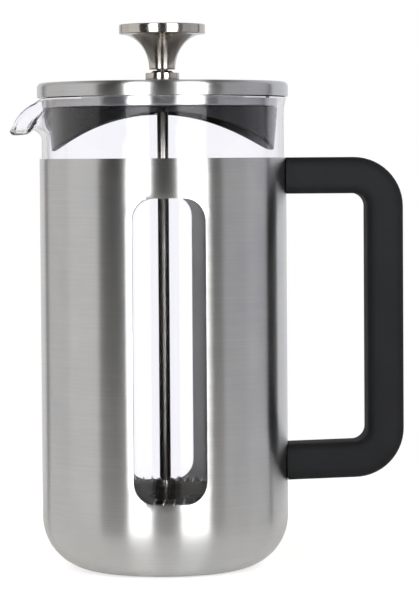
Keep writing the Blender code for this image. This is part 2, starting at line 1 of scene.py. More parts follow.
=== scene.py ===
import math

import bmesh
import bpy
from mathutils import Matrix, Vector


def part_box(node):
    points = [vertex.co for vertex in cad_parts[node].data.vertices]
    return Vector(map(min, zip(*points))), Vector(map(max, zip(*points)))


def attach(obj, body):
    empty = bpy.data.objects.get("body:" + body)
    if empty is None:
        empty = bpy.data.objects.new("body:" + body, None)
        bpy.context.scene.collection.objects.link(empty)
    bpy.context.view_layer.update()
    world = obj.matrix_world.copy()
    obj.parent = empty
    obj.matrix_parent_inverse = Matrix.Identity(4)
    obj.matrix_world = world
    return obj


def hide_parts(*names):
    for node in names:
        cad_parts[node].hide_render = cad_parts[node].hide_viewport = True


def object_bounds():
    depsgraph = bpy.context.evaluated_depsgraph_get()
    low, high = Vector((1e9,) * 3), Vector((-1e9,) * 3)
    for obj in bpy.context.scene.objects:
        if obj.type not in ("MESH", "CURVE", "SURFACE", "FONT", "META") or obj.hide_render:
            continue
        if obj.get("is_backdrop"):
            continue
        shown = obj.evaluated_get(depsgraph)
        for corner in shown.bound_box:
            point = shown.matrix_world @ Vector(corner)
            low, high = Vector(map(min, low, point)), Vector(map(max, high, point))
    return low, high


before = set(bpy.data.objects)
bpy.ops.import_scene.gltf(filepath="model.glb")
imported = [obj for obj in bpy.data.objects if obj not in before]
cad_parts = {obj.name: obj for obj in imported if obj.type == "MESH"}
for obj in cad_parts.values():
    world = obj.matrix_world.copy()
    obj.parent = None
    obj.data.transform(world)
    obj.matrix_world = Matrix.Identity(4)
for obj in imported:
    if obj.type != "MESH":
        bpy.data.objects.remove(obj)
cad_low, cad_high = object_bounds()

# %% [markdown]
# # A French press, piece by piece
# The press is a glass beaker that stands in a steel sleeve, a steel lid with a splash skirt under it, and a
# plunger whose filter pushes the grounds down. Its mechanics come ready made as a frame of plain solids, each
# riding on the body that it moves with. This lesson gives each of those solids its finished form and its
# finish. Everything turned, drawn or spun in the factory is spun here too, from one short outline.

MM = 0.001
AROUND = 192  # steps round a large piece; a multiple of 4, so that seams fall on the axes
FINE = 96  # steps round a small piece
FULL_TURN = 2 * math.pi
Z_AXIS = (0.0, 0.0, 1.0)
MERGE = 0.001 * MM  # points closer than this are one point
NOISE_LOW, NOISE_HIGH = 0.3, 0.7  # nearly all of a noise's values lie between these


def measured(what, *lengths):
    """Prints lengths in millimetres."""
    print(what, "in mm:", [round(length / MM, 2) for length in lengths])


measured("frame box", *cad_low, *cad_high)

# %% [markdown]
# ## Colour
# Colours are easiest to read as the hex codes that a paint chip or a screen shows. The shader wants linear
# light, so one function turns a hex code into it.


# %% Colour
def to_linear(code):
    """Linear RGBA from an sRGB hex code."""
    parts = [int(code[place : place + 2], 16) / 255 for place in (1, 3, 5)]
    return tuple(c / 12.92 if c <= 0.04045 else ((c + 0.055) / 1.055) ** 2.4 for c in parts) + (1.0,)


print("mid grey in linear light:", round(to_linear("#808080")[0], 3))

# %% [markdown]
# ## Building a material
# A material is a small machine of nodes. One function adds a node, changes its settings, and fills its
# inputs: a plain value is typed in, a socket is linked, and a node is linked by its first output.


# %% Building a material
def add(tree, kind, settings=None, inputs=None):
    """Adds a node to a tree. Settings are its own properties, and inputs are values, sockets or nodes."""
    made = tree.nodes.new("ShaderNode" + kind)
    for name, value in (settings or {}).items():
        setattr(made, name, value)
    for name, value in (inputs or {}).items():
        if isinstance(value, bpy.types.Node):
            value = value.outputs[0]
        if isinstance(value, bpy.types.NodeSocket):
            tree.links.new(value, made.inputs[name])
        else:
            made.inputs[name].default_value = value
    return made


def new_material(name):
    """An empty material, and its tree."""
    material = bpy.data.materials.new(name)
    material.use_nodes = True
    material.node_tree.nodes.clear()
    return material, material.node_tree


# %% [markdown]
# ## Brush lines
# The steel is brushed on a lathe, so its scratches run round the axis. On a wall they lie at one height, and
# on a flat top at one radius. Height plus radius changes across the scratches on both, so a noise that is
# stretched along the other two directions and squeezed along that sum draws them everywhere at once.
# Real scratches are some 0.05 mm apart, too fine to show on a whole press. They are drawn coarser, at about
# the width that still reads as brushing.


# %% Brush lines
LINE_PITCH = 0.32 * MM
LINE_LENGTH = 30.0 * MM


def brush_lines(tree):
    """A noise value that is constant along the brushing and changes across it."""
    where = add(tree, "TexCoord").outputs["Object"]
    flat = add(tree, "VectorMath", {"operation": "MULTIPLY"}, {0: where, 1: (1.0, 1.0, 0.0)})
    radius = add(tree, "VectorMath", {"operation": "LENGTH"}, {0: flat})
    height = add(tree, "SeparateXYZ", None, {"Vector": where})
    across = add(tree, "Math", {"operation": "ADD"}, {0: radius.outputs["Value"], 1: height.outputs["Z"]})
    lifted = add(tree, "CombineXYZ", None, {"Z": across})
    squeezed = add(tree, "VectorMath", {"operation": "SCALE"}, {0: lifted, "Scale": 1 / LINE_PITCH})
    spot = add(
        tree,
        "VectorMath",
        {"operation": "MULTIPLY_ADD"},
        {0: flat, 1: (1 / LINE_LENGTH, 1 / LINE_LENGTH, 0.0), 2: squeezed},
    )
    noise = add(tree, "TexNoise", None, {"Vector": spot, "Scale": 1.0, "Detail": 2.0})
    return noise.outputs["Fac"]


# %% [markdown]
# ## Brushed steel
# Stainless steel, 18/10, brushed round the axis and left uncoated. Each scratch is a tiny groove, so light
# spreads across the grooves and hardly at all along them: a reflection on the sleeve smears up and down but
# keeps sharp sides. Anisotropy does that. Each groove also leans a little to one side, which frays those
# sharp sides into fine teeth, and a slow, faint cloudiness keeps the metal from looking printed.
#
# The same steel has other finishes elsewhere. Inside, the sleeve is as the press drew it, dull and pale. The
# turned fittings are polished, so they show small, sharp, bright bands. The rod is ground and mirrors softly
# in all directions alike, and so does the spring wire. The filter's plates are given a dark colour, and
# reflections that weaken where light only grazes them: this is painted shade, for the shade they sit in.

# %% Brushed steel
CLOUD_SIZE = 16 * MM
CLOUD_WARM = (1.01, 1.0, 0.985, 1.0)  # what a cloud does to the steel's red, green and blue
CLOUD_COOL = (0.935, 0.94, 0.96, 1.0)
GROOVE_DARK = 0.95
GROOVE_LIGHT = 1.03
LEAN_LOW, LEAN_HIGH = 0.25, 0.75  # the noise values at which a groove leans the furthest
QUARTER_TURN = 0.25  # the shader smears along its tangent, and the smear has to run across the lines


def brushed_steel(name, colour, roughness, sway, anisotropy=1.0, edge=1.0):
    """Brushed metal. Sway is the slope of a line that leans to one side. Edge below 1 dims grazing light."""
    material, tree = new_material(name)
    lines = brush_lines(tree)
    normal = add(tree, "NewGeometry").outputs["Normal"]
    side = add(tree, "VectorMath", {"operation": "CROSS_PRODUCT"}, {0: normal, 1: Z_AXIS})
    leaning = {"From Min": LEAN_LOW, "From Max": LEAN_HIGH, "To Min": -sway, "To Max": sway}
    lean = add(tree, "MapRange", None, {"Value": lines, **leaning})
    push = add(tree, "VectorMath", {"operation": "SCALE"}, {0: side, "Scale": lean})
    bent = add(tree, "VectorMath", {"operation": "ADD"}, {0: normal, 1: push})
    straight = add(tree, "VectorMath", {"operation": "NORMALIZE"}, {0: bent})

    where = add(tree, "TexCoord").outputs["Object"]
    clouds = add(tree, "TexNoise", None, {"Vector": where, "Scale": 1 / CLOUD_SIZE, "Detail": 3.0})
    share = add(tree, "MapRange", None, {"Value": clouds, "From Min": NOISE_LOW, "From Max": NOISE_HIGH})
    warm = [c * s for c, s in zip(colour, CLOUD_WARM)]
    cool = [c * s for c, s in zip(colour, CLOUD_COOL)]
    base = add(tree, "Mix", {"data_type": "RGBA"}, {"Factor": share, 6: warm, 7: cool})
    grooves = {"From Min": NOISE_LOW, "From Max": NOISE_HIGH, "To Min": GROOVE_DARK, "To Max": GROOVE_LIGHT}
    depth = add(tree, "MapRange", None, {"Value": lines, **grooves})
    shaded = add(tree, "VectorMath", {"operation": "SCALE"}, {0: base.outputs[2], "Scale": depth})
    tangent = add(tree, "Tangent", {"direction_type": "RADIAL", "axis": "Z"})
    finish = {
        "Base Color": shaded,
        "Metallic": 1.0,
        "Roughness": roughness,
        "Anisotropic": anisotropy,
        "Anisotropic Rotation": QUARTER_TURN,
        "Specular Tint": (edge, edge, edge, 1.0),
        "Normal": straight,
        "Tangent": tangent,
    }
    add(tree, "OutputMaterial", None, {"Surface": add(tree, "BsdfPrincipled", None, finish)})
    return material


SLEEVE_STEEL = brushed_steel("stainless steel brushed round the axis", to_linear("#cacbcb"), 0.30, 0.006)
INNER_STEEL = brushed_steel("stainless steel as drawn inside", to_linear("#ececec"), 0.50, 0.004, 0.3)
FITTING_STEEL = brushed_steel("stainless steel turned and polished", to_linear("#c6c2bc"), 0.16, 0.002, 0.5)
ROD_STEEL = brushed_steel("stainless steel bar ground bright", to_linear("#bdb9b4"), 0.30, 0.0, 0.0)
# The wire's colour is paler than steel as a painted highlight, because inside the press it reflects a dark
# surround.
WIRE_STEEL = brushed_steel("stainless steel spring wire", to_linear("#f0eeea"), 0.25, 0.0, 0.0)
# The filter plates' dark colour and their weak reflections at grazing angles are painted shade.
SHADED_PLATE_STEEL = brushed_steel("stainless steel sheet with painted shade", to_linear("#6a6866"), 0.45, 0.0, 0.0, 0.2)
print("steels:", SLEEVE_STEEL.name, "|", FITTING_STEEL.name, "|", WIRE_STEEL.name)

# %% [markdown]
# ## Borosilicate glass
# The beaker is blown borosilicate, a clear glass with a slightly lower index than window glass. It has almost
# no colour of its own, so the eye finds it by its edges, where light runs along the wall, and by faint
# reflections. Its surface is fire-polished, so its roughness is zero, and long shallow waves from blowing
# make those reflections wander. The panels that light the steel are far brighter than the glass needs, so
# its reflections are turned down.

# %% Borosilicate glass
GLASS_INDEX = 1.474
GLASS_REFLECTS = 0.25
WAVE_LENGTH = 35 * MM
WAVE_HEIGHT = 0.3 * MM
WAVE_STRENGTH = 0.05


def clear_glass():
    material, tree = new_material("borosilicate glass blown and fire polished")
    where = add(tree, "TexCoord").outputs["Object"]
    waves = add(tree, "TexNoise", None, {"Vector": where, "Scale": 1 / WAVE_LENGTH, "Detail": 1.0})
    bump = add(tree, "Bump", None, {"Strength": WAVE_STRENGTH, "Distance": WAVE_HEIGHT, "Height": waves})
    finish = {
        "Base Color": to_linear("#fcfcff"),
        "Roughness": 0.0,
        "IOR": GLASS_INDEX,
        "Specular Tint": (GLASS_REFLECTS, GLASS_REFLECTS, GLASS_REFLECTS, 1.0),
        "Transmission Weight": 1.0,
        "Normal": bump,
    }
    add(tree, "OutputMaterial", None, {"Surface": add(tree, "BsdfPrincipled", None, finish)})
    return material


BEAKER_GLASS = clear_glass()
print("glass:", BEAKER_GLASS.name)

# %% [markdown]
# ## Moulded plastics and rubber
# The handle is nylon with a soft-touch coat, which scatters light and shows only a dull sheen. The splash
# skirt is polypropylene, moulded in a smoother tool, so it shows soft reflections. Each has the fine grain
# that its tool was given, drawn as a shallow bump, and a roughness that wanders a little with handling.

# %% Moulded plastics and rubber
HANDLED_PATCH = 20 * MM
HANDLED_CHANGE = 0.04  # how far handling moves the roughness, up or down


def moulded(name, colour, roughness, specular, grain, depth):
    """A moulded surface. Grain is the size of its texture, and depth how deep that is."""
    material, tree = new_material(name)
    where = add(tree, "TexCoord").outputs["Object"]
    texture = add(tree, "TexNoise", None, {"Vector": where, "Scale": 1 / grain, "Detail": 2.0})
    bump = add(tree, "Bump", None, {"Strength": 1.0, "Distance": depth, "Height": texture})
    handled = add(tree, "TexNoise", None, {"Vector": where, "Scale": 1 / HANDLED_PATCH, "Detail": 3.0})
    smoothest, roughest = roughness - HANDLED_CHANGE, roughness + HANDLED_CHANGE
    handling = {"From Min": NOISE_LOW, "From Max": NOISE_HIGH, "To Min": smoothest, "To Max": roughest}
    dull = add(tree, "MapRange", None, {"Value": handled, **handling})
    finish = {"Base Color": colour, "Roughness": dull, "Specular IOR Level": specular, "Normal": bump}
    add(tree, "OutputMaterial", None, {"Surface": add(tree, "BsdfPrincipled", None, finish)})
    return material


HANDLE_NYLON = moulded("nylon with a soft-touch coat", to_linear("#151618"), 0.70, 0.16, 0.5 * MM, 0.01 * MM)
SKIRT_PLASTIC = moulded("polypropylene moulded black", to_linear("#161618"), 0.26, 0.36, 0.8 * MM, 0.004 * MM)
PAD_SILICONE = moulded("silicone rubber pad", to_linear("#b4b4b2"), 0.6, 0.4, 0.6 * MM, 0.01 * MM)
BUSH_NYLON = moulded("natural nylon bush", to_linear("#d8d5cc"), 0.45, 0.5, 0.5 * MM, 0.005 * MM)
print("plastics:", HANDLE_NYLON.name, "|", SKIRT_PLASTIC.name, "|", BUSH_NYLON.name)

# %% [markdown]
# ## Woven wire
# The filter cloth is stainless wire woven one over, one under, with a mesh of about 0.25 mm. Two waves at
# right angles stand for its threads as a bump. Their height also sets the colour: painted shade in the gaps
# and a painted glint on the crests. They are drawn at 0.9 mm, the finest that shows.

# %% Woven wire
THREAD_PITCH = 0.9 * MM
THREAD_RELIEF = 0.12 * MM
GAP_PAINTED_SHADE = 0.12
CREST_PAINTED_GLINT = 0.55
WAVE_NODE_RATE = 20  # the wave node's bands are this many times closer than its scale says


def woven_wire():
    material, tree = new_material("stainless wire woven fine")
    where = add(tree, "TexCoord").outputs["Object"]
    heights = []
    for direction in ("X", "Y"):
        rate = FULL_TURN / (WAVE_NODE_RATE * THREAD_PITCH)
        wave = add(tree, "TexWave", {"bands_direction": direction}, {"Vector": where, "Scale": rate})
        heights.append(wave.outputs["Fac"])
    weave = add(tree, "Math", {"operation": "MAXIMUM"}, {0: heights[0], 1: heights[1]})
    bump = add(tree, "Bump", None, {"Strength": 1.0, "Distance": THREAD_RELIEF, "Height": weave})
    # The colour follows the threads' height: painted shade in the gaps, a painted glint on the crests.
    painted_shade_and_glint = add(tree, "MapRange", None, {"Value": weave, "To Min": GAP_PAINTED_SHADE, "To Max": CREST_PAINTED_GLINT})
    finish = {"Base Color": painted_shade_and_glint, "Metallic": 1.0, "Roughness": 0.35, "Normal": bump}
    add(tree, "OutputMaterial", None, {"Surface": add(tree, "BsdfPrincipled", None, finish)})
    return material


FILTER_CLOTH = woven_wire()
print("filter cloth:", FILTER_CLOTH.name)

# %% [markdown]
# ## From an outline to a piece
# Most of a press is round. An outline of a few points is drawn on one side of the axis and spun a full turn,
# with its last copy merged onto the first. A closed outline makes a ring, and one that starts and ends on the
# axis makes a solid. Round corners are arcs.


# %% From an outline to a piece
def arc(centre, radius, start, end, steps):
    """Points on an arc as (across, up) pairs, both ends included. Angles are in degrees."""
    points = []
    for step in range(steps + 1):
        angle = math.radians(start + (end - start) * step / steps)
        points.append((centre[0] + radius * math.cos(angle), centre[1] + radius * math.sin(angle)))
    return points


def outward(shape):
    """Turns every face outwards. A mesh with a hole in it is judged by most of its faces."""
    bmesh.ops.recalc_face_normals(shape, faces=shape.faces)
    middle = sum((f.calc_center_median() for f in shape.faces), Vector()) / len(shape.faces)
    facing = sum(f.normal.dot(f.calc_center_median() - middle) * f.calc_area() for f in shape.faces)
    if facing < 0:
        bmesh.ops.reverse_faces(shape, faces=shape.faces)


def spun(outline, closed=False, steps=AROUND):
    """Spins (radius, height) points round the axis."""
    shape = bmesh.new()
    points = [shape.verts.new((radius, 0.0, height)) for radius, height in outline]
    edges = [shape.edges.new(pair) for pair in zip(points, points[1:])]
    if closed:
        edges.append(shape.edges.new((points[-1], points[0])))
    bmesh.ops.spin(
        shape,
        geom=points + edges,
        cent=(0.0, 0.0, 0.0),
        axis=Z_AXIS,
        angle=FULL_TURN,
        steps=steps,
        use_merge=True,
    )
    bmesh.ops.remove_doubles(shape, verts=shape.verts, dist=MERGE)
    outward(shape)
    return shape


# %% [markdown]
# A finished shape becomes an object that rides on a body and stands for a solid of the frame. Modifiers that
# finish it, such as a small bevel on its edges, are made permanent at once, and edges sharper than a set
# angle are marked sharp, so that faces meet crisply there and flow everywhere else.

# %% Turning a shape into a piece
SHARP = math.radians(38)


def put_in_scene(name, data):
    """A new object with this data."""
    made = bpy.data.objects.new(name, data)
    bpy.context.scene.collection.objects.link(made)
    return made


def evaluated_mesh(thing):
    """What an object with its modifiers, or a curve with its thickness, looks like as a mesh."""
    bpy.context.view_layer.update()
    graph = bpy.context.evaluated_depsgraph_get()
    return bpy.data.meshes.new_from_object(thing.evaluated_get(graph))


def settle(piece):
    """Makes a piece's modifiers permanent."""
    mesh = evaluated_mesh(piece)
    piece.modifiers.clear()
    piece.data = mesh


def draft(name, shape):
    """An object that isn't a piece yet, with room for modifiers."""
    mesh = bpy.data.meshes.new(name)
    shape.to_mesh(mesh)
    shape.free()
    return put_in_scene(name, mesh)


def thicken(piece, wall):
    """Gives a sheet its thickness, towards the inside."""
    sheet = piece.modifiers.new("wall", "SOLIDIFY")
    sheet.thickness = wall
    sheet.offset = -1.0
    sheet.use_even_offset = True
    settle(piece)


def ease(piece, width, segments=2, angle=SHARP):
    """A small bevel on every sharp edge: no real edge is a knife."""
    bevel = piece.modifiers.new("eased edges", "BEVEL")
    bevel.width = width
    bevel.segments = segments
    bevel.limit_method = "ANGLE"
    bevel.angle_limit = angle
    bevel.use_clamp_overlap = False
    settle(piece)


def take_away(piece, tool_shape):
    """Cuts the tool's shape out of the piece."""
    tool = draft("tool", tool_shape)
    boolean = piece.modifiers.new("cut", "BOOLEAN")
    boolean.operation = "DIFFERENCE"
    boolean.solver = "EXACT"
    boolean.object = tool
    settle(piece)
    bpy.data.objects.remove(tool)


def finish_piece(piece, material, body, slot, *nodes):
    """Gives a piece its finish, and sets it in the frame in place of the nodes it stands for."""
    piece.data.materials.clear()
    piece.data.materials.append(material)
    piece.data.shade_smooth()
    piece.data.set_sharp_from_angle(angle=SHARP)
    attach(piece, body)
    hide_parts(*nodes)
    print(f"{piece.name}: {len(piece.data.polygons)} faces, rides on {body}")


# %% [markdown]
# ## Steel sleeve
# The sleeve is deep-drawn from 0.6 mm sheet into a cup with a round base corner, then a long window with
# round corners is pierced through the front and the back. It could be a cup with a Boolean cut, but that
# leaves ragged faces on a mirror-like wall. Here it is made the way a flat pattern is: a flat sheet with a
# round-cornered hole, sliced into narrow strips, rolled round the axis, and mirrored to give the other half.
# The base is spun and welded on, and the sheet gets its thickness last.

# %% Sleeve sizes
_, sleeve_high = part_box("steel_sleeve")
SLEEVE_R = sleeve_high.x
SLEEVE_TOP = sleeve_high.z
SHEET = 0.6 * MM
BASE_CORNER = 22.0 * MM
WINDOW_WIDTH = 29.4 * MM
WINDOW_LOW = 31.5 * MM
WINDOW_HIGH = 154.0 * MM
WINDOW_CORNER = 9.0 * MM
WINDOW_MARGIN = 3.0 * MM  # a band of even faces that follows the window's edge
measured("sleeve radius and height", SLEEVE_R, SLEEVE_TOP)


# %% The sleeve's half wall, flat
def rectangle(shape, half_width, half_height, middle=0.0):
    """Adds a flat rectangle, its middle at a place along Y."""
    corners = bmesh.ops.create_grid(shape, x_segments=1, y_segments=1, size=1.0)["verts"]
    bmesh.ops.scale(shape, vec=(half_width, half_height, 1.0), verts=corners)
    bmesh.ops.translate(shape, vec=(0.0, middle, 0.0), verts=corners)
    return corners


def round_corners(shape, radius, segments):
    bmesh.ops.bevel(
        shape,
        geom=list(shape.verts),
        offset=radius,
        segments=segments,
        profile=0.5,
        affect="VERTICES",
        material=-1,
    )


def flat_half_wall():
    """Half the wall as a flat sheet: X runs round the sleeve from its middle, and Y is height."""
    sheet = bmesh.new()
    half_width = SLEEVE_R * math.asin(WINDOW_WIDTH / 2 / SLEEVE_R) + WINDOW_MARGIN
    half_height = (WINDOW_HIGH - WINDOW_LOW) / 2 + WINDOW_MARGIN
    rectangle(sheet, half_width, half_height, (WINDOW_LOW + WINDOW_HIGH) / 2)
    round_corners(sheet, WINDOW_CORNER + WINDOW_MARGIN, 14)
    window = list(sheet.faces)
    bmesh.ops.inset_region(
        sheet, faces=window, thickness=WINDOW_MARGIN, use_even_offset=True, use_boundary=True
    )
    bmesh.ops.delete(sheet, geom=window, context="FACES_ONLY")
    band_edge = [e for e in sheet.edges if e.is_boundary and on_band_outside(e, half_width, half_height)]

    quarter = math.pi / 2 * SLEEVE_R
    half_wall = (SLEEVE_TOP - BASE_CORNER) / 2
    corners = rectangle(sheet, quarter, half_wall, BASE_CORNER + half_wall)
    whole = corners[0].link_faces[0]
    whole_edge = list(whole.edges)
    bmesh.ops.delete(sheet, geom=[whole], context="FACES_ONLY")
    bmesh.ops.triangle_fill(sheet, use_beauty=True, edges=band_edge + whole_edge)
    return sheet


def on_band_outside(edge, half_width, half_height):
    """True if an edge of the band is on its outer outline, not on the window's own."""
    middle_height = (WINDOW_LOW + WINDOW_HIGH) / 2
    middle = (edge.verts[0].co + edge.verts[1].co) / 2
    # Distance from the outline's straight sides, measured from the centre of the nearest corner arc.
    reach = WINDOW_CORNER + WINDOW_MARGIN
    across = max(abs(middle.x) - (half_width - reach), 0.0)
    up = max(abs(middle.y - middle_height) - (half_height - reach), 0.0)
    return math.hypot(across, up) > reach - WINDOW_MARGIN / 2


# %% Roll the wall, mirror it and weld on the base
def rolled_sleeve():
    wall = flat_half_wall()
    strips = AROUND // 2
    for number in range(1, strips):
        along = SLEEVE_R * math.pi * (number / strips - 0.5)
        everything = list(wall.verts) + list(wall.edges) + list(wall.faces)
        bmesh.ops.bisect_plane(
            wall, geom=everything, dist=MERGE / 2, plane_co=(along, 0, 0), plane_no=(1, 0, 0)
        )
    for point in wall.verts:
        turn = point.co.x / SLEEVE_R
        point.co = (SLEEVE_R * math.sin(turn), -SLEEVE_R * math.cos(turn), point.co.y)
    everything = list(wall.verts) + list(wall.edges) + list(wall.faces)
    bmesh.ops.mirror(wall, geom=everything, axis="Y", merge_dist=2 * MERGE)

    flat = SLEEVE_R - BASE_CORNER
    outline = [(0.0, 0.0), (flat * 0.5, 0.0)] + arc((flat, BASE_CORNER), BASE_CORNER, -90, 0, 16)
    base = spun(outline)
    base_mesh = bpy.data.meshes.new("base")
    base.to_mesh(base_mesh)
    base.free()
    wall.from_mesh(base_mesh)
    bmesh.ops.remove_doubles(wall, verts=wall.verts, dist=10 * MERGE)
    outward(wall)
    return wall


sleeve = draft("sleeve_shell", rolled_sleeve())
thicken(sleeve, SHEET)
ease(sleeve, 0.12 * MM, 2, math.radians(60))
finish_piece(sleeve, SLEEVE_STEEL, "sleeve", "sleeve_steel", "steel_sleeve")

# The inside was drawn but never brushed, so its walls and its floor get a duller finish.
sleeve.data.materials.append(INNER_STEEL)
FACES_UP = 0.7  # the least upward slant of a face of the floor
for face in sleeve.data.polygons:
    across = Vector((face.center.x, face.center.y, 0.0))
    inward = face.normal.dot(across) < 0 and across.length > SLEEVE_R - BASE_CORNER
    if inward or (face.normal.z > FACES_UP and face.center.z < BASE_CORNER):
        face.material_index = 1

# %% [markdown]
# ## Handle
# A D of nylon, moulded in one piece: two arms and a grip, all of one rounded section. A section face is
# extruded along the arm, spun a quarter turn round the corner, extruded down the grip, spun again, and
# extruded back. The lower arm drops very slightly towards the sleeve. The ends are hollowed to fit the wall.

# %% Handle sizes
handle_low, handle_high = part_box("handle")
REACH = handle_high.x
BAR = 15.0 * MM
HANDLE_WIDTH = handle_high.y - handle_low.y
OUTER_CORNER = 20.5 * MM
SECTION_CORNER = 4.6 * MM
ARM_DROP = 1.0 * MM  # how much lower the lower arm starts than it ends
ARM_OVERLAP = 8.0 * MM  # how far inside the sleeve an arm starts, before its end is hollowed
SEAT_GAP = 0.3 * MM
corner_x = REACH - OUTER_CORNER
start_x = SLEEVE_R - ARM_OVERLAP
measured("handle reach, width and top", REACH, HANDLE_WIDTH, handle_high.z)


# %% Draw the handle
def drawn_handle():
    shape = bmesh.new()
    rectangle(shape, BAR / 2, HANDLE_WIDTH / 2)
    round_corners(shape, SECTION_CORNER, 8)
    # Stand the section up across the arm: its X becomes height.
    bmesh.ops.rotate(
        shape, cent=(0, 0, 0), matrix=Matrix.Rotation(math.radians(90), 3, "Y"), verts=shape.verts
    )
    bmesh.ops.translate(shape, vec=(start_x, 0.0, handle_high.z - BAR / 2), verts=shape.verts)
    face = list(shape.faces)
    face = pushed(shape, face, (corner_x - start_x, 0.0, 0.0))
    face = swept(shape, face, (corner_x, 0.0, handle_high.z - OUTER_CORNER))
    grip = handle_high.z - handle_low.z - 2 * OUTER_CORNER
    face = pushed(shape, face, (0.0, 0.0, -grip))
    face = swept(shape, face, (corner_x, 0.0, handle_low.z + OUTER_CORNER))
    pushed(shape, face, (start_x - corner_x, 0.0, -ARM_DROP))
    bmesh.ops.recalc_face_normals(shape, faces=shape.faces)
    return shape


def pushed(shape, faces, way):
    """Extrudes faces along a straight way, and returns the new end."""
    made = bmesh.ops.extrude_face_region(shape, geom=faces)["geom"]
    points = [g for g in made if isinstance(g, bmesh.types.BMVert)]
    bmesh.ops.translate(shape, vec=way, verts=points)
    return [g for g in made if isinstance(g, bmesh.types.BMFace)]


def swept(shape, faces, centre):
    """Spins faces a quarter turn round a corner, and returns the new end."""
    made = bmesh.ops.spin(
        shape, geom=faces, cent=centre, axis=(0, 1, 0), angle=math.pi / 2, steps=14, use_merge=False
    )["geom_last"]
    return [g for g in made if isinstance(g, bmesh.types.BMFace)]


def rod(radius, length, centre, steps=FINE, turn=None):
    """A plain bar along Z, or turned by a matrix."""
    shape = bmesh.new()
    bmesh.ops.create_cone(
        shape, cap_ends=True, segments=steps, radius1=radius, radius2=radius, depth=length
    )
    if turn:
        bmesh.ops.rotate(shape, cent=(0, 0, 0), matrix=turn, verts=shape.verts)
    bmesh.ops.translate(shape, vec=centre, verts=shape.verts)
    return shape


handle = draft("handle_grip", drawn_handle())
take_away(handle, rod(SLEEVE_R + SEAT_GAP, 2 * SLEEVE_TOP, (0.0, 0.0, SLEEVE_TOP / 2), AROUND))

# %% [markdown]
# Each arm slides over a stud that is welded to the sleeve, and a small screw with a hexagon socket goes up
# into the stud from under the arm. The bores are drilled here, and the screws get their sockets, because both
# show from below.

# %% Bores and screws of the handle
SOCKET_R = 0.85 * MM  # to the corners of its hexagon
SOCKET_DEPTH = 1.4 * MM
lying = Matrix.Rotation(math.radians(90), 3, "Y")
for arm in ("upper", "lower"):
    stud_low, stud_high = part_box("handle_stud_" + arm)
    stud_r = (stud_high.z - stud_low.z) / 2
    stud_spot = (stud_low + stud_high) / 2
    bore_length = stud_high.x - stud_low.x + 2 * SEAT_GAP
    take_away(handle, rod(stud_r + SEAT_GAP, bore_length, stud_spot, FINE, lying))
    screw_low, screw_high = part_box("handle_screw_" + arm)
    screw_r = (screw_high.x - screw_low.x) / 2
    hole_spot = ((screw_low.x + screw_high.x) / 2, 0.0, stud_spot.z - BAR / 2)
    take_away(handle, rod(screw_r + SEAT_GAP, BAR, hole_spot, 48))
    screw_spot = (screw_low + screw_high) / 2
    screw = draft("grub_screw_" + arm, rod(screw_r, screw_high.z - screw_low.z, screw_spot, 48))
    ease(screw, 0.2 * MM)
    take_away(screw, rod(SOCKET_R, 2 * SOCKET_DEPTH, (screw_spot.x, 0.0, screw_low.z), 6))
    finish_piece(screw, FITTING_STEEL, "sleeve", "fitting_steel", "handle_screw_" + arm)
finish_piece(handle, HANDLE_NYLON, "sleeve", "handle_plastic", "handle")

# %% [markdown]
# ## Glass beaker
# A blown tube closed at the bottom with a round corner. While its rim is hot it is flared slightly, and the
# spout is pulled out with a tool. The same order works here: spin the plain beaker, then pull its rim. The
# spout's floor leaves the wall, sags a little and lifts again at the tip, which is what stops a drip.

# %% Beaker sizes
GLASS_R = SLEEVE_R - SHEET - SEAT_GAP
beaker_low, beaker_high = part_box("glass_beaker")
GLASS_BOTTOM = beaker_low.z
GLASS_TOP = beaker_high.z
GLASS_WALL = 2.0 * MM
RIM_FLARE = 1.1 * MM
SPOUT_REACH = -beaker_low.x
SPOUT_TIP_Z = 181.5 * MM
SPOUT_HALF_ANGLE = math.radians(20)
PULL_START_Z = 176.0 * MM
FLOOR_FLAT = SLEEVE_R - BASE_CORNER
LIP_EVEN = 0.45  # the part of the lip's fall that is even, from the rim to the spout's tip
LIP_LATE = 0.55  # the part that comes late, near the tip
LIP_START = 4.0  # how quickly the fall sets in at the spout's two sides
measured("glass radius, top and spout reach", GLASS_R, GLASS_TOP, SPOUT_REACH)


# %% The curve of the rim and the spout
def smooth_path(points, share):
    """A point at a share of the way along a smooth curve through the points."""
    spans = len(points) - 1
    place = min(share * spans, spans - 1e-9)
    index = int(place)
    t = place - index
    before = points[max(index - 1, 0)]
    here, there = points[index], points[index + 1]
    after = points[min(index + 2, spans)]
    found = []
    for a, b, c, d in zip(before, here, there, after):
        bend = (2 * a - 5 * b + 4 * c - d) * t * t + (3 * b - a - 3 * c + d) * t**3
        found.append(b + 0.5 * ((c - a) * t + bend))
    return found


# The glass's outside as (radius, height), from where the pull starts up to the lip.
PLAIN_RIM = [(GLASS_R, PULL_START_Z), (GLASS_R, 0.181), (GLASS_R, 0.186), (GLASS_R + 0.1 * MM, 0.190)]
PLAIN_RIM += [(GLASS_R + 0.6 * MM, 0.1928), (GLASS_R + RIM_FLARE, GLASS_TOP)]
SPOUT_FLOOR = [(GLASS_R, PULL_START_Z), (GLASS_R, 0.1785), (GLASS_R + 1.1 * MM, 0.1806)]
SPOUT_FLOOR += [(GLASS_R + 3.3 * MM, 0.1819), (GLASS_R + 5.5 * MM, 0.1804), (GLASS_R + 8.9 * MM, 0.1799)]
SPOUT_FLOOR += [(GLASS_R + 12.0 * MM, 0.1800), (SPOUT_REACH, SPOUT_TIP_Z)]


def pull_at(angle):
    """How far the rim is pulled at an angle from the spout's middle: 1 there, 0 beyond its sides."""
    share = min(abs(angle) / SPOUT_HALF_ANGLE, 1.0)
    return 0.5 * (1.0 + math.cos(math.pi * share))


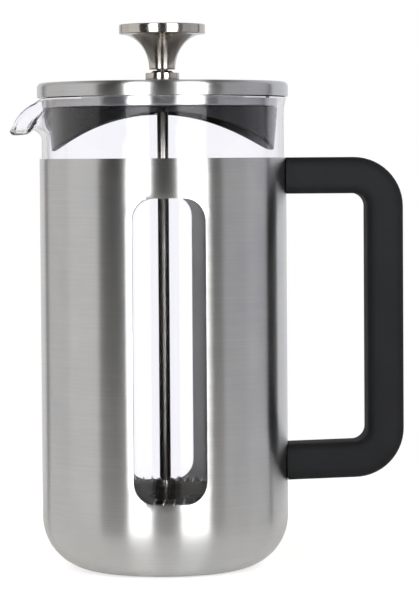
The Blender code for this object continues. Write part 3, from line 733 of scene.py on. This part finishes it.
def rim_height(angle, radius, pull):
    """Height of the lip. Seen from the side it falls from the rim to the tip in one curve."""
    side_start = (GLASS_R + RIM_FLARE) * math.cos(SPOUT_HALF_ANGLE)
    reach = max(0.0, (radius * math.cos(angle) - side_start) / (SPOUT_REACH - side_start))
    fall = LIP_EVEN * reach + LIP_LATE * reach**4
    return GLASS_TOP - (GLASS_TOP - SPOUT_TIP_Z) * fall * min(1.0, LIP_START * pull)


# %% Spin the beaker and pull its spout
def pulled_beaker():
    rows = 35
    corner = GLASS_R - FLOOR_FLAT
    outline = [(0.0, GLASS_BOTTOM), (FLOOR_FLAT / 2, GLASS_BOTTOM)]
    outline += arc((FLOOR_FLAT, GLASS_BOTTOM + corner), corner, -90, 0, 12)
    outline += [(GLASS_R, PULL_START_Z + (GLASS_TOP - PULL_START_Z) * row / rows) for row in range(rows + 1)]
    shape = spun(outline)
    for point in shape.verts:
        if point.co.z <= PULL_START_Z + MERGE:
            continue
        share = (point.co.z - PULL_START_Z) / (GLASS_TOP - PULL_START_Z)
        heading = math.atan2(point.co.y, point.co.x)
        from_spout = math.remainder(heading - math.pi, FULL_TURN)
        pull = pull_at(from_spout)
        plain = smooth_path(PLAIN_RIM, share)
        spout = smooth_path(SPOUT_FLOOR, share)
        radius = plain[0] + (spout[0] - plain[0]) * pull
        height = plain[1] + (spout[1] - plain[1]) * pull
        rim_radius = PLAIN_RIM[-1][0] + (SPOUT_REACH - PLAIN_RIM[-1][0]) * pull
        rim_blend = GLASS_TOP + (SPOUT_TIP_Z - GLASS_TOP) * pull
        height += (rim_height(from_spout, rim_radius, pull) - rim_blend) * share**3
        point.co = (radius * math.cos(heading), radius * math.sin(heading), height)
    outward(shape)
    return shape


beaker = draft("beaker_glass", pulled_beaker())
thicken(beaker, GLASS_WALL)
ease(beaker, 0.8 * MM, 4, math.radians(50))
finish_piece(beaker, BEAKER_GLASS, "beaker", "beaker_glass", "glass_beaker")

# %% [markdown]
# ## Lid
# The cap is pressed from the same sheet as the sleeve, with a tight round shoulder. Under it hangs a pan that
# closes the lid from below: its short band fits inside the glass, and its middle is raised to hide a nut.

# %% Lid cap and liner
cap_low, cap_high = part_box("lid_cap")
LID_R = cap_high.x
SHOULDER = 2.0 * MM
LID_HOLE = 5.0 * MM
liner_low, liner_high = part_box("lid_liner")
PLUG_R = 47.5 * MM
BAND_LOW = liner_low.z
RECESS_R = 16.0 * MM
RECESS_TOP = 197.1 * MM
RECESS_SLOPE = 3.0 * MM
PAN_BEND = 0.9 * MM
BAND_SHOULDER = 1.2 * MM  # where the band turns straight, below the flange


def cap_outline():
    centre = (LID_R - SHOULDER, cap_high.z - SHOULDER)
    points = [(LID_HOLE, cap_high.z)] + arc(centre, SHOULDER, 90, 0, 8)
    points += [(LID_R, cap_low.z), (LID_R - SHEET, cap_low.z)]
    points += arc(centre, SHOULDER - SHEET, 0, 90, 6) + [(LID_HOLE, cap_high.z - SHEET)]
    return points


def liner_outline():
    flange = liner_high.x
    low = GLASS_TOP + SEAT_GAP
    recess_edge = RECESS_R - RECESS_SLOPE
    points = [(flange, low + SHEET), (flange, low)]
    points += arc((PLUG_R + PAN_BEND, low - PAN_BEND), PAN_BEND, 90, 180, 4)[:-1]
    points += [(PLUG_R, low - BAND_SHOULDER)]
    points += arc((PLUG_R - PAN_BEND, BAND_LOW + PAN_BEND), PAN_BEND, 0, -90, 5)
    points += [(RECESS_R, BAND_LOW), (recess_edge, RECESS_TOP - SHEET), (LID_HOLE, RECESS_TOP - SHEET)]
    points += [(LID_HOLE, RECESS_TOP), (recess_edge + SHEET, RECESS_TOP)]
    points += [(RECESS_R + SHEET, BAND_LOW + SHEET), (PLUG_R - SHEET, BAND_LOW + SHEET)]
    points += [(PLUG_R - SHEET, low + SHEET)]
    return points


cap = draft("lid_top", spun(cap_outline(), closed=True))
ease(cap, 0.1 * MM)
finish_piece(cap, SLEEVE_STEEL, "lid", "sleeve_steel", "lid_cap")
liner = draft("lid_pan", spun(liner_outline(), closed=True))
ease(liner, 0.1 * MM)
finish_piece(liner, SLEEVE_STEEL, "liner", "sleeve_steel", "lid_liner")

# %% [markdown]
# ## Splash skirt
# A black moulding under the pan keeps the coffee from splashing up to the spout. Its lower edge is a wave
# that hangs low at the spout and the handle and rises at the two windows. The skirt is spun straight first,
# and then each column is stretched to the wave.

# %% Splash skirt
skirt_low, skirt_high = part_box("lid_skirt")
SKIRT_TOP = skirt_high.z
SKIRT_LOW = skirt_low.z
SKIRT_WAVE = 7.7 * MM
SKIRT_WALL = 1.5 * MM
SKIRT_WEB = 1.1 * MM
SKIRT_DRAFT = 1.6 * MM
SKIRT_HOLE = RECESS_R + SEAT_GAP


def waved_skirt():
    rows = 8
    down = [SKIRT_TOP - (SKIRT_TOP - SKIRT_LOW) * row / rows for row in range(rows + 1)]
    outside = [(PLUG_R, height) for height in down]
    inside = [(PLUG_R - SKIRT_WALL, height) for height in reversed(down[1:])]
    outline = outside + inside + [(PLUG_R - SKIRT_WALL, SKIRT_TOP - SKIRT_WEB)]
    outline += [(SKIRT_HOLE, SKIRT_TOP - SKIRT_WEB), (SKIRT_HOLE, SKIRT_TOP)]
    shape = spun(outline, closed=True)
    for point in shape.verts:
        radius = math.hypot(point.co.x, point.co.y)
        # The web and the top edge stay where they are.
        if radius < PLUG_R - 1.5 * SKIRT_WALL or point.co.z > SKIRT_TOP - SKIRT_WEB + MERGE:
            continue
        turn = math.atan2(point.co.y, point.co.x)
        edge = SKIRT_LOW + SKIRT_WAVE * (1.0 - math.cos(2 * turn))
        share = (SKIRT_TOP - point.co.z) / (SKIRT_TOP - SKIRT_LOW)
        height = SKIRT_TOP - (SKIRT_TOP - edge) * share
        lean = SKIRT_DRAFT * (SKIRT_TOP - height) / (SKIRT_TOP - SKIRT_LOW)
        shrink = (radius - lean) / radius
        point.co = (point.co.x * shrink, point.co.y * shrink, height)
    return shape


skirt = draft("splash_skirt", waved_skirt())
ease(skirt, 0.3 * MM, 3, math.radians(50))
finish_piece(skirt, SKIRT_PLASTIC, "liner", "skirt_plastic", "lid_skirt")

# %% Screws of the splash skirt
SCREW_R = 1.2 * MM
SCREW_POINT = 0.3 * MM  # how much thinner its tip is
SCREW_POINT_HEIGHT = 0.4 * MM
HEAD_R = 2.4 * MM
HEAD_HEIGHT = 0.7 * MM
HEAD_DOME = 0.5 * MM  # how much smaller the flat of the head is
HEAD_DOME_HEIGHT = 0.3 * MM
CROSS_LENGTH = 2.6 * MM
CROSS_WIDTH = 0.6 * MM
CROSS_DEPTH = 0.35 * MM
for number in (1, 2, 3):
    node = f"skirt_screw_{number}"
    low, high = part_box(node)
    outline = [(0.0, high.z), (SCREW_R - SCREW_POINT, high.z), (SCREW_R, high.z - SCREW_POINT_HEIGHT)]
    outline += [(SCREW_R, low.z + HEAD_HEIGHT), (HEAD_R, low.z + HEAD_HEIGHT)]
    outline += [(HEAD_R, low.z + HEAD_DOME_HEIGHT), (HEAD_R - HEAD_DOME, low.z), (0.0, low.z)]
    shape = spun(outline, steps=48)
    spot = Vector(((low.x + high.x) / 2, (low.y + high.y) / 2, 0.0))
    bmesh.ops.translate(shape, vec=spot, verts=shape.verts)
    screw = draft(f"pan_screw_{number}", shape)
    for size in ((CROSS_LENGTH, CROSS_WIDTH), (CROSS_WIDTH, CROSS_LENGTH)):
        slot = bmesh.new()
        bmesh.ops.create_cube(slot, size=1.0)
        bmesh.ops.scale(slot, vec=(*size, 2 * CROSS_DEPTH), verts=slot.verts)
        bmesh.ops.translate(slot, vec=spot + Vector((0.0, 0.0, low.z)), verts=slot.verts)
        take_away(screw, slot)
    finish_piece(screw, FITTING_STEEL, "liner", "fitting_steel", node)

# %% [markdown]
# ## Collar, bush and knob
# Small turned parts. The collar guides the rod and ends in a low cone. The knob is one turning: a neck that
# flares in a quarter ellipse to a flat disc with eased edges. Both are polished after turning.

# %% Collar and bush
collar_low, collar_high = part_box("guide_collar")
COLLAR_R = collar_high.x
COLLAR_CONE = 5.1 * MM
COLLAR_CONE_HEIGHT = 0.9 * MM
COLLAR_LAND = 0.3 * MM
SPIGOT_R = 4.7 * MM
COLLAR_BORE = 3.5 * MM
SHOULDER_Z = cap_high.z + SEAT_GAP
collar_outline = [
    (COLLAR_BORE, collar_high.z),
    (COLLAR_BORE + COLLAR_LAND, collar_high.z),
    (COLLAR_CONE, collar_high.z - COLLAR_CONE_HEIGHT),
    (COLLAR_R, collar_high.z - COLLAR_CONE_HEIGHT),
    (COLLAR_R, SHOULDER_Z),
    (SPIGOT_R, SHOULDER_Z),
    (SPIGOT_R, collar_low.z),
    (COLLAR_BORE, collar_low.z),
]
collar = draft("rod_collar", spun(collar_outline, closed=True, steps=FINE))
ease(collar, 0.12 * MM, 2, math.radians(40))
finish_piece(collar, FITTING_STEEL, "lid", "fitting_steel", "guide_collar")


def ring_outline(inside, low, high):
    """A plain ring that fills its box."""
    return [(inside, high.z), (high.x, high.z), (high.x, low.z), (inside, low.z)]


bush_low, bush_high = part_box("guide_bush")
BUSH_INSIDE = 2.6 * MM
bush = draft("rod_bush", spun(ring_outline(BUSH_INSIDE, bush_low, bush_high), closed=True, steps=FINE))
ease(bush, 0.1 * MM)
finish_piece(bush, BUSH_NYLON, "lid", "bush_plastic", "guide_bush")

# %% Knob and rod
knob_low, knob_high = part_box("knob")
KNOB_R = knob_high.x
KNOB_NECK = 5.4 * MM
KNOB_DISC = 4.0 * MM
KNOB_EDGE = 0.5 * MM
KNOB_STEP = 0.2 * MM  # how far the flare ends inside the disc's edge
KNOB_STEP_HEIGHT = 0.4 * MM
THREAD_R = 2.0 * MM
THREAD_HOLE = 2.3 * MM
THREAD_DEPTH = 9.3 * MM  # into the knob
CUP_R = 2.6 * MM  # the wider start of the knob's hole, which takes the rod's shoulder
CUP_DEPTH = 1.1 * MM
ROD_IN_CUP = 0.8 * MM


def knob_outline():
    flare_top = knob_high.z - KNOB_DISC
    height = flare_top - knob_low.z
    spread = KNOB_R - KNOB_STEP - KNOB_NECK
    points = [(0.0, knob_high.z)]
    points += arc((KNOB_R - KNOB_EDGE, knob_high.z - KNOB_EDGE), KNOB_EDGE, 90, 0, 5)
    points += [(KNOB_R, flare_top + KNOB_STEP_HEIGHT)]
    steps = 28
    for step in range(steps + 1):
        angle = math.pi / 2 * (1 - step / steps)
        points.append((KNOB_NECK + spread * (1 - math.cos(angle)), knob_low.z + height * math.sin(angle)))
    points += [(CUP_R, knob_low.z), (CUP_R, knob_low.z + CUP_DEPTH)]
    points += [(THREAD_HOLE, knob_low.z + CUP_DEPTH), (THREAD_HOLE, knob_low.z + THREAD_DEPTH)]
    return points + [(0.0, knob_low.z + THREAD_DEPTH)]


knob = draft("plunger_knob", spun(knob_outline(), steps=144))
ease(knob, 0.12 * MM, 2, math.radians(40))
finish_piece(knob, FITTING_STEEL, "plunger", "fitting_steel", "knob")

rod_low, rod_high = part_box("plunger_rod")
ROD_R = rod_high.x
hub_low, hub_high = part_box("filter_hub")
SHOULDER_LOW = hub_high.z + SEAT_GAP
SHOULDER_HIGH = knob_low.z + ROD_IN_CUP
rod_outline = [
    (0.0, rod_high.z),
    (THREAD_R, rod_high.z),
    (THREAD_R, SHOULDER_HIGH),
    (ROD_R, SHOULDER_HIGH),
    (ROD_R, SHOULDER_LOW),
    (THREAD_R, SHOULDER_LOW),
    (THREAD_R, rod_low.z),
    (0.0, rod_low.z),
]
plunger_rod = draft("rod", spun(rod_outline, steps=FINE))
ease(plunger_rod, 0.15 * MM)
finish_piece(plunger_rod, ROD_STEEL, "plunger", "fitting_steel", "plunger_rod")

# %% [markdown]
# ## Filter
# From the top: a domed hub, a dished plate with eight holes, a coil spring threaded round the plate's rim
# that seals on the glass, the woven cloth, and a plate with six holes that backs it, all clamped on the rod
# by a nut.

# %% Hub
HUB_R = hub_high.x
HUB_DOME = 1.8 * MM
hub_outline = arc((HUB_R - HUB_DOME, hub_high.z - HUB_DOME), HUB_DOME, 90, 0, 8)
hub_outline += [(HUB_R, hub_low.z), (THREAD_HOLE, hub_low.z), (THREAD_HOLE, hub_high.z)]
hub = draft("hub", spun(hub_outline, closed=True, steps=FINE))
ease(hub, 0.15 * MM)
finish_piece(hub, FITTING_STEEL, "filter", "fitting_steel", "filter_hub")

# %% Spring plate
coil_low, coil_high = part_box("rim_coil")
COIL_R = (coil_high.z - coil_low.z) / 2
COIL_Z = (coil_high.z + coil_low.z) / 2
COIL_CIRCLE = coil_high.x - COIL_R
plate_low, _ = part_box("spring_plate")
DISH_R = 36.0 * MM
HOLE_CIRCLE = 23.0 * MM
DRILL_LENGTH = 6.0 * MM
PLATE_HOLES = 8
PLATE_HOLE_R = 5.5 * MM
PLATE_LIP = 1.0 * MM  # the plate's lip ends this far inside the middle of the coil
PLATE_LIP_RISE = 0.4 * MM
PLATE_BEND = 0.5 * MM


def drills(radius, circle, count, height):
    """Bars on a circle, to drill a ring of holes at one height."""
    shape = bmesh.new()
    for number in range(count):
        made = bmesh.ops.create_cone(
            shape, cap_ends=True, segments=48, radius1=radius, radius2=radius, depth=DRILL_LENGTH
        )
        angle = FULL_TURN * number / count
        spot = (circle * math.cos(angle), circle * math.sin(angle), height)
        bmesh.ops.translate(shape, vec=spot, verts=made["verts"])
    return shape


plate_outline = [
    (COIL_CIRCLE - PLATE_LIP, COIL_Z + SHEET + PLATE_LIP_RISE),
    (COIL_CIRCLE - PLATE_LIP, COIL_Z + PLATE_LIP_RISE),
    (DISH_R + 4.5 * MM, COIL_Z),
    (DISH_R + 3.2 * MM, COIL_Z - PLATE_BEND),
    (DISH_R + 0.8 * MM, plate_low.z + PLATE_BEND),
    (DISH_R - 0.6 * MM, plate_low.z),
    (THREAD_HOLE, plate_low.z),
    (THREAD_HOLE, plate_low.z + SHEET),
    (DISH_R - 0.8 * MM, plate_low.z + SHEET),
    (DISH_R + 0.4 * MM, plate_low.z + PLATE_BEND + SHEET),
    (DISH_R + 2.8 * MM, COIL_Z - PLATE_BEND + SHEET),
    (DISH_R + 4.1 * MM, COIL_Z + SHEET),
]
plate = draft("dished_plate", spun(plate_outline, closed=True))
take_away(plate, drills(PLATE_HOLE_R, HOLE_CIRCLE, PLATE_HOLES, plate_low.z))
ease(plate, 0.1 * MM, 2, math.radians(50))
finish_piece(plate, SHADED_PLATE_STEEL, "filter", "filter_steel", "spring_plate")

# %% [markdown]
# The rim spring is a close coil of thin wire bent into a ring. The loop below walks the wire's centre line
# round the ring, turn after turn, and a curve with a round section follows it.

# %% Rim spring
COIL_TURNS = 73
POINTS_A_TURN = 14
WIRE_R = 0.38 * MM


def rim_spring():
    curve = bpy.data.curves.new("rim_spring", "CURVE")
    curve.dimensions = "3D"
    curve.bevel_depth = WIRE_R
    curve.bevel_resolution = 1
    count = COIL_TURNS * POINTS_A_TURN
    path = curve.splines.new("POLY")
    path.points.add(count - 1)
    path.use_cyclic_u = True
    turn_radius = COIL_R - WIRE_R
    for number, point in enumerate(path.points):
        along = FULL_TURN * number / count
        round_wire = along * COIL_TURNS
        radius = COIL_CIRCLE + turn_radius * math.cos(round_wire)
        height = COIL_Z + turn_radius * math.sin(round_wire)
        point.co = (radius * math.cos(along), radius * math.sin(along), height, 1.0)
    wire = put_in_scene("wire", curve)
    mesh = evaluated_mesh(wire)
    bpy.data.objects.remove(wire)
    return put_in_scene("rim_spring", mesh)


finish_piece(rim_spring(), WIRE_STEEL, "filter", "filter_steel", "rim_coil")

# %% Filter cloth and its backing plate
CLOTH_EDGE = 0.3 * MM  # how far the cloth's edge is rounded in
CROSS_HOLES = 6
CROSS_HOLE_R = 10.5 * MM
cloth_low, cloth_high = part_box("filter_mesh")
cloth_outline = [
    (THREAD_HOLE, cloth_high.z),
    (cloth_high.x - CLOTH_EDGE, cloth_high.z),
    (cloth_high.x, (cloth_high.z + cloth_low.z) / 2),
    (cloth_high.x - CLOTH_EDGE, cloth_low.z),
    (THREAD_HOLE, cloth_low.z),
]
cloth = draft("filter_cloth", spun(cloth_outline, closed=True))
finish_piece(cloth, FILTER_CLOTH, "filter", "filter_steel", "filter_mesh")

cross_low, cross_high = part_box("cross_plate")
cross = draft("backing_plate", spun(ring_outline(THREAD_HOLE, cross_low, cross_high), closed=True))
take_away(cross, drills(CROSS_HOLE_R, HOLE_CIRCLE, CROSS_HOLES, cross_low.z))
ease(cross, 0.2 * MM, 2, math.radians(50))
finish_piece(cross, SHADED_PLATE_STEEL, "filter", "filter_steel", "cross_plate")

# %% [markdown]
# ## Nuts
# A hexagon nut is a six-sided bar with its corners turned off in a cone, bored through the middle.

# %% Nuts
NUT_CHAMFER = 0.35 * MM


def hexagon_nut(name, node, bore):
    low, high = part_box(node)
    height = high.z - low.z
    middle = (0.0, 0.0, (low.z + high.z) / 2)
    nut = draft(name, rod(high.x, height, middle, 6))
    ease(nut, NUT_CHAMFER, 2, math.radians(50))
    take_away(nut, rod(bore, 2 * height, middle))
    return nut


guide_nut = hexagon_nut("collar_nut", "guide_nut", LID_HOLE)
finish_piece(guide_nut, FITTING_STEEL, "lid", "fitting_steel", "guide_nut")
lock_nut = hexagon_nut("filter_nut", "lock_nut", THREAD_HOLE)
finish_piece(lock_nut, FITTING_STEEL, "filter", "fitting_steel", "lock_nut")

# %% [markdown]
# ## The rest of the frame
# The pad under the glass, the handle's studs and the washer are plain on the real press too, and are mostly
# hidden. They keep their solids from the frame, and only get a finish.

# %% Finish the plain pieces
plain_pieces = {
    "base_cushion": PAD_SILICONE,
    "handle_stud_upper": FITTING_STEEL,
    "handle_stud_lower": FITTING_STEEL,
    "guide_washer": FITTING_STEEL,
}
for node, material in plain_pieces.items():
    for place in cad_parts[node].material_slots:
        place.material = material
print("plain solids kept:", ", ".join(plain_pieces))

# %% [markdown]
# ## Studio
# A pale floor that fades into a white surround. Light comes from the surround itself: two tall white panels
# on the camera's side, a dark gap between them, pale walls beside and behind, and a dim, warm ceiling. What
# the camera sees directly, or through the glass, is plain white.

# %% Studio floor
FLOOR_R = 900.0 * MM
FLOOR_FADE = 420.0 * MM
FLOOR_SOLID = 147.0 * MM  # the floor starts to fade this far from the press
FLOOR_DROP = 0.05 * MM  # and lies this far under it
FLOOR_GLOW_SEEN = 0.6  # light from under the paper, as the camera sees it
FLOOR_GLOW_REFLECTED = 0.18  # and as the steel sees it


def floor_material():
    material, tree = new_material("white paper floor")
    where = add(tree, "TexCoord").outputs["Object"]
    away = add(tree, "VectorMath", {"operation": "LENGTH"}, {0: where})
    fade = add(
        tree,
        "MapRange",
        {"interpolation_type": "SMOOTHSTEP"},
        {"Value": away.outputs["Value"], "From Min": FLOOR_SOLID, "From Max": FLOOR_FADE},
    )
    paper = add(tree, "BsdfDiffuse", None, {"Color": to_linear("#f0eeeb")})
    path = add(tree, "LightPath")
    glow = add(
        tree,
        "MapRange",
        None,
        {"Value": path.outputs["Is Camera Ray"], "To Min": FLOOR_GLOW_REFLECTED, "To Max": FLOOR_GLOW_SEEN},
    )
    lit = add(tree, "Emission", None, {"Strength": glow})
    bright = add(tree, "AddShader", None, {0: paper, 1: lit})
    clear = add(tree, "BsdfTransparent")
    mixed = add(tree, "MixShader", None, {"Fac": fade, 1: bright, 2: clear})
    add(tree, "OutputMaterial", None, {"Surface": mixed})
    return material


floor_shape = bmesh.new()
bmesh.ops.create_circle(floor_shape, cap_ends=True, segments=96, radius=FLOOR_R)
bmesh.ops.translate(floor_shape, vec=(0.0, 0.0, -FLOOR_DROP), verts=floor_shape.verts)
floor = draft("floor", floor_shape)
floor.data.materials.append(floor_material())
floor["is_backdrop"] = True

# %% Camera
CAMERA_AZIMUTH = math.radians(-2.45)
CAMERA_DISTANCE = 1.240
CAMERA_HEIGHT = 0.170
AIM_RIGHT = 18.66 * MM
AIM_HEIGHT = 0.1111
ROLL = math.radians(0.4)
LENS = 179.5

right = Vector((math.cos(CAMERA_AZIMUTH), math.sin(CAMERA_AZIMUTH), 0.0))
toward = Vector((math.sin(CAMERA_AZIMUTH), -math.cos(CAMERA_AZIMUTH), 0.0))
camera_data = bpy.data.cameras.new("camera")
camera_data.lens = LENS
camera_data.sensor_width = 36.0
camera = put_in_scene("camera", camera_data)
bpy.context.scene.camera = camera
camera.location = toward * CAMERA_DISTANCE + Vector((0.0, 0.0, CAMERA_HEIGHT))
aim = right * AIM_RIGHT + Vector((0.0, 0.0, AIM_HEIGHT))
look = (aim - camera.location).to_track_quat("-Z", "Y")
camera.rotation_mode = "QUATERNION"
camera.rotation_quaternion = look @ Matrix.Rotation(-ROLL, 4, "Z").to_quaternion()
measured("camera", *camera.location)

# %% Light
# Each zone of the surround runs up to an azimuth, in degrees to the right of the camera as seen from the
# press, and has one colour of light. The panels are far brighter than white paper.
ZONES = [
    (-146.0, (0.80, 0.79, 0.78)),
    (-137.0, (0.30, 0.29, 0.29)),
    (-100.0, (0.75, 0.73, 0.72)),
    (-63.0, (0.86, 0.84, 0.83)),
    (-34.8, (0.05, 0.05, 0.05)),
    (-12.6, (5.0, 5.0, 5.0)),
    (14.5, (0.05, 0.05, 0.05)),
    (42.0, (5.0, 4.96, 4.88)),
    (57.0, (0.15, 0.15, 0.15)),
    (85.0, (0.51, 0.50, 0.52)),
    (114.0, (0.60, 0.59, 0.62)),
    (120.0, (0.12, 0.12, 0.12)),
    (180.0, (0.80, 0.80, 0.82)),
]
ZONE_BLUR = 0.8  # half the width, in degrees, over which one zone turns into the next
CEILING = (0.09, 0.07, 0.055)
CEILING_STARTS = 0.62  # as the sine of its height above the horizon
CEILING_FULL = 0.90


def studio_world():
    world = bpy.data.worlds.new("studio")
    bpy.context.scene.world = world
    world.use_nodes = True
    tree = world.node_tree
    tree.nodes.clear()
    direction = add(tree, "TexCoord").outputs["Generated"]
    turned = add(
        tree,
        "VectorRotate",
        {"rotation_type": "Z_AXIS"},
        {"Vector": direction, "Angle": math.pi / 2 - CAMERA_AZIMUTH},
    )
    parts = add(tree, "SeparateXYZ", None, {"Vector": turned})
    azimuth = add(tree, "Math", {"operation": "ARCTAN2"}, {0: parts.outputs["Y"], 1: parts.outputs["X"]})
    degrees = add(tree, "Math", {"operation": "DEGREES"}, {0: azimuth})
    colour = (*ZONES[0][1], 1.0)
    for (edge, _), (_, after) in zip(ZONES, ZONES[1:]):
        step = add(
            tree,
            "MapRange",
            {"interpolation_type": "SMOOTHSTEP"},
            {"Value": degrees, "From Min": edge - ZONE_BLUR, "From Max": edge + ZONE_BLUR},
        )
        zone = add(tree, "Mix", {"data_type": "RGBA"}, {"Factor": step, 6: colour, 7: (*after, 1.0)})
        colour = zone.outputs[2]
    # The zones give way to the ceiling overhead.
    overhead = add(
        tree,
        "MapRange",
        {"interpolation_type": "SMOOTHSTEP"},
        {"Value": parts.outputs["Z"], "From Min": CEILING_STARTS, "From Max": CEILING_FULL},
    )
    surround = add(tree, "Mix", {"data_type": "RGBA"}, {"Factor": overhead, 6: colour, 7: (*CEILING, 1.0)})
    path = add(tree, "LightPath")
    bounced = add(
        tree,
        "Math",
        {"operation": "ADD"},
        {0: path.outputs["Glossy Depth"], 1: path.outputs["Diffuse Depth"]},
    )
    direct = add(tree, "Math", {"operation": "LESS_THAN"}, {0: bounced, 1: 0.5})
    seen = add(
        tree,
        "Mix",
        {"data_type": "RGBA"},
        {"Factor": direct, 6: surround.outputs[2], 7: (1.0, 1.0, 1.0, 1.0)},
    )
    background = add(tree, "Background", None, {"Color": seen.outputs[2], "Strength": 1.0})
    add(tree, "OutputWorld", None, {"Surface": background})


studio_world()
bpy.context.scene.view_settings.view_transform = "Standard"

low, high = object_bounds()
measured("visual box", *low, *high)
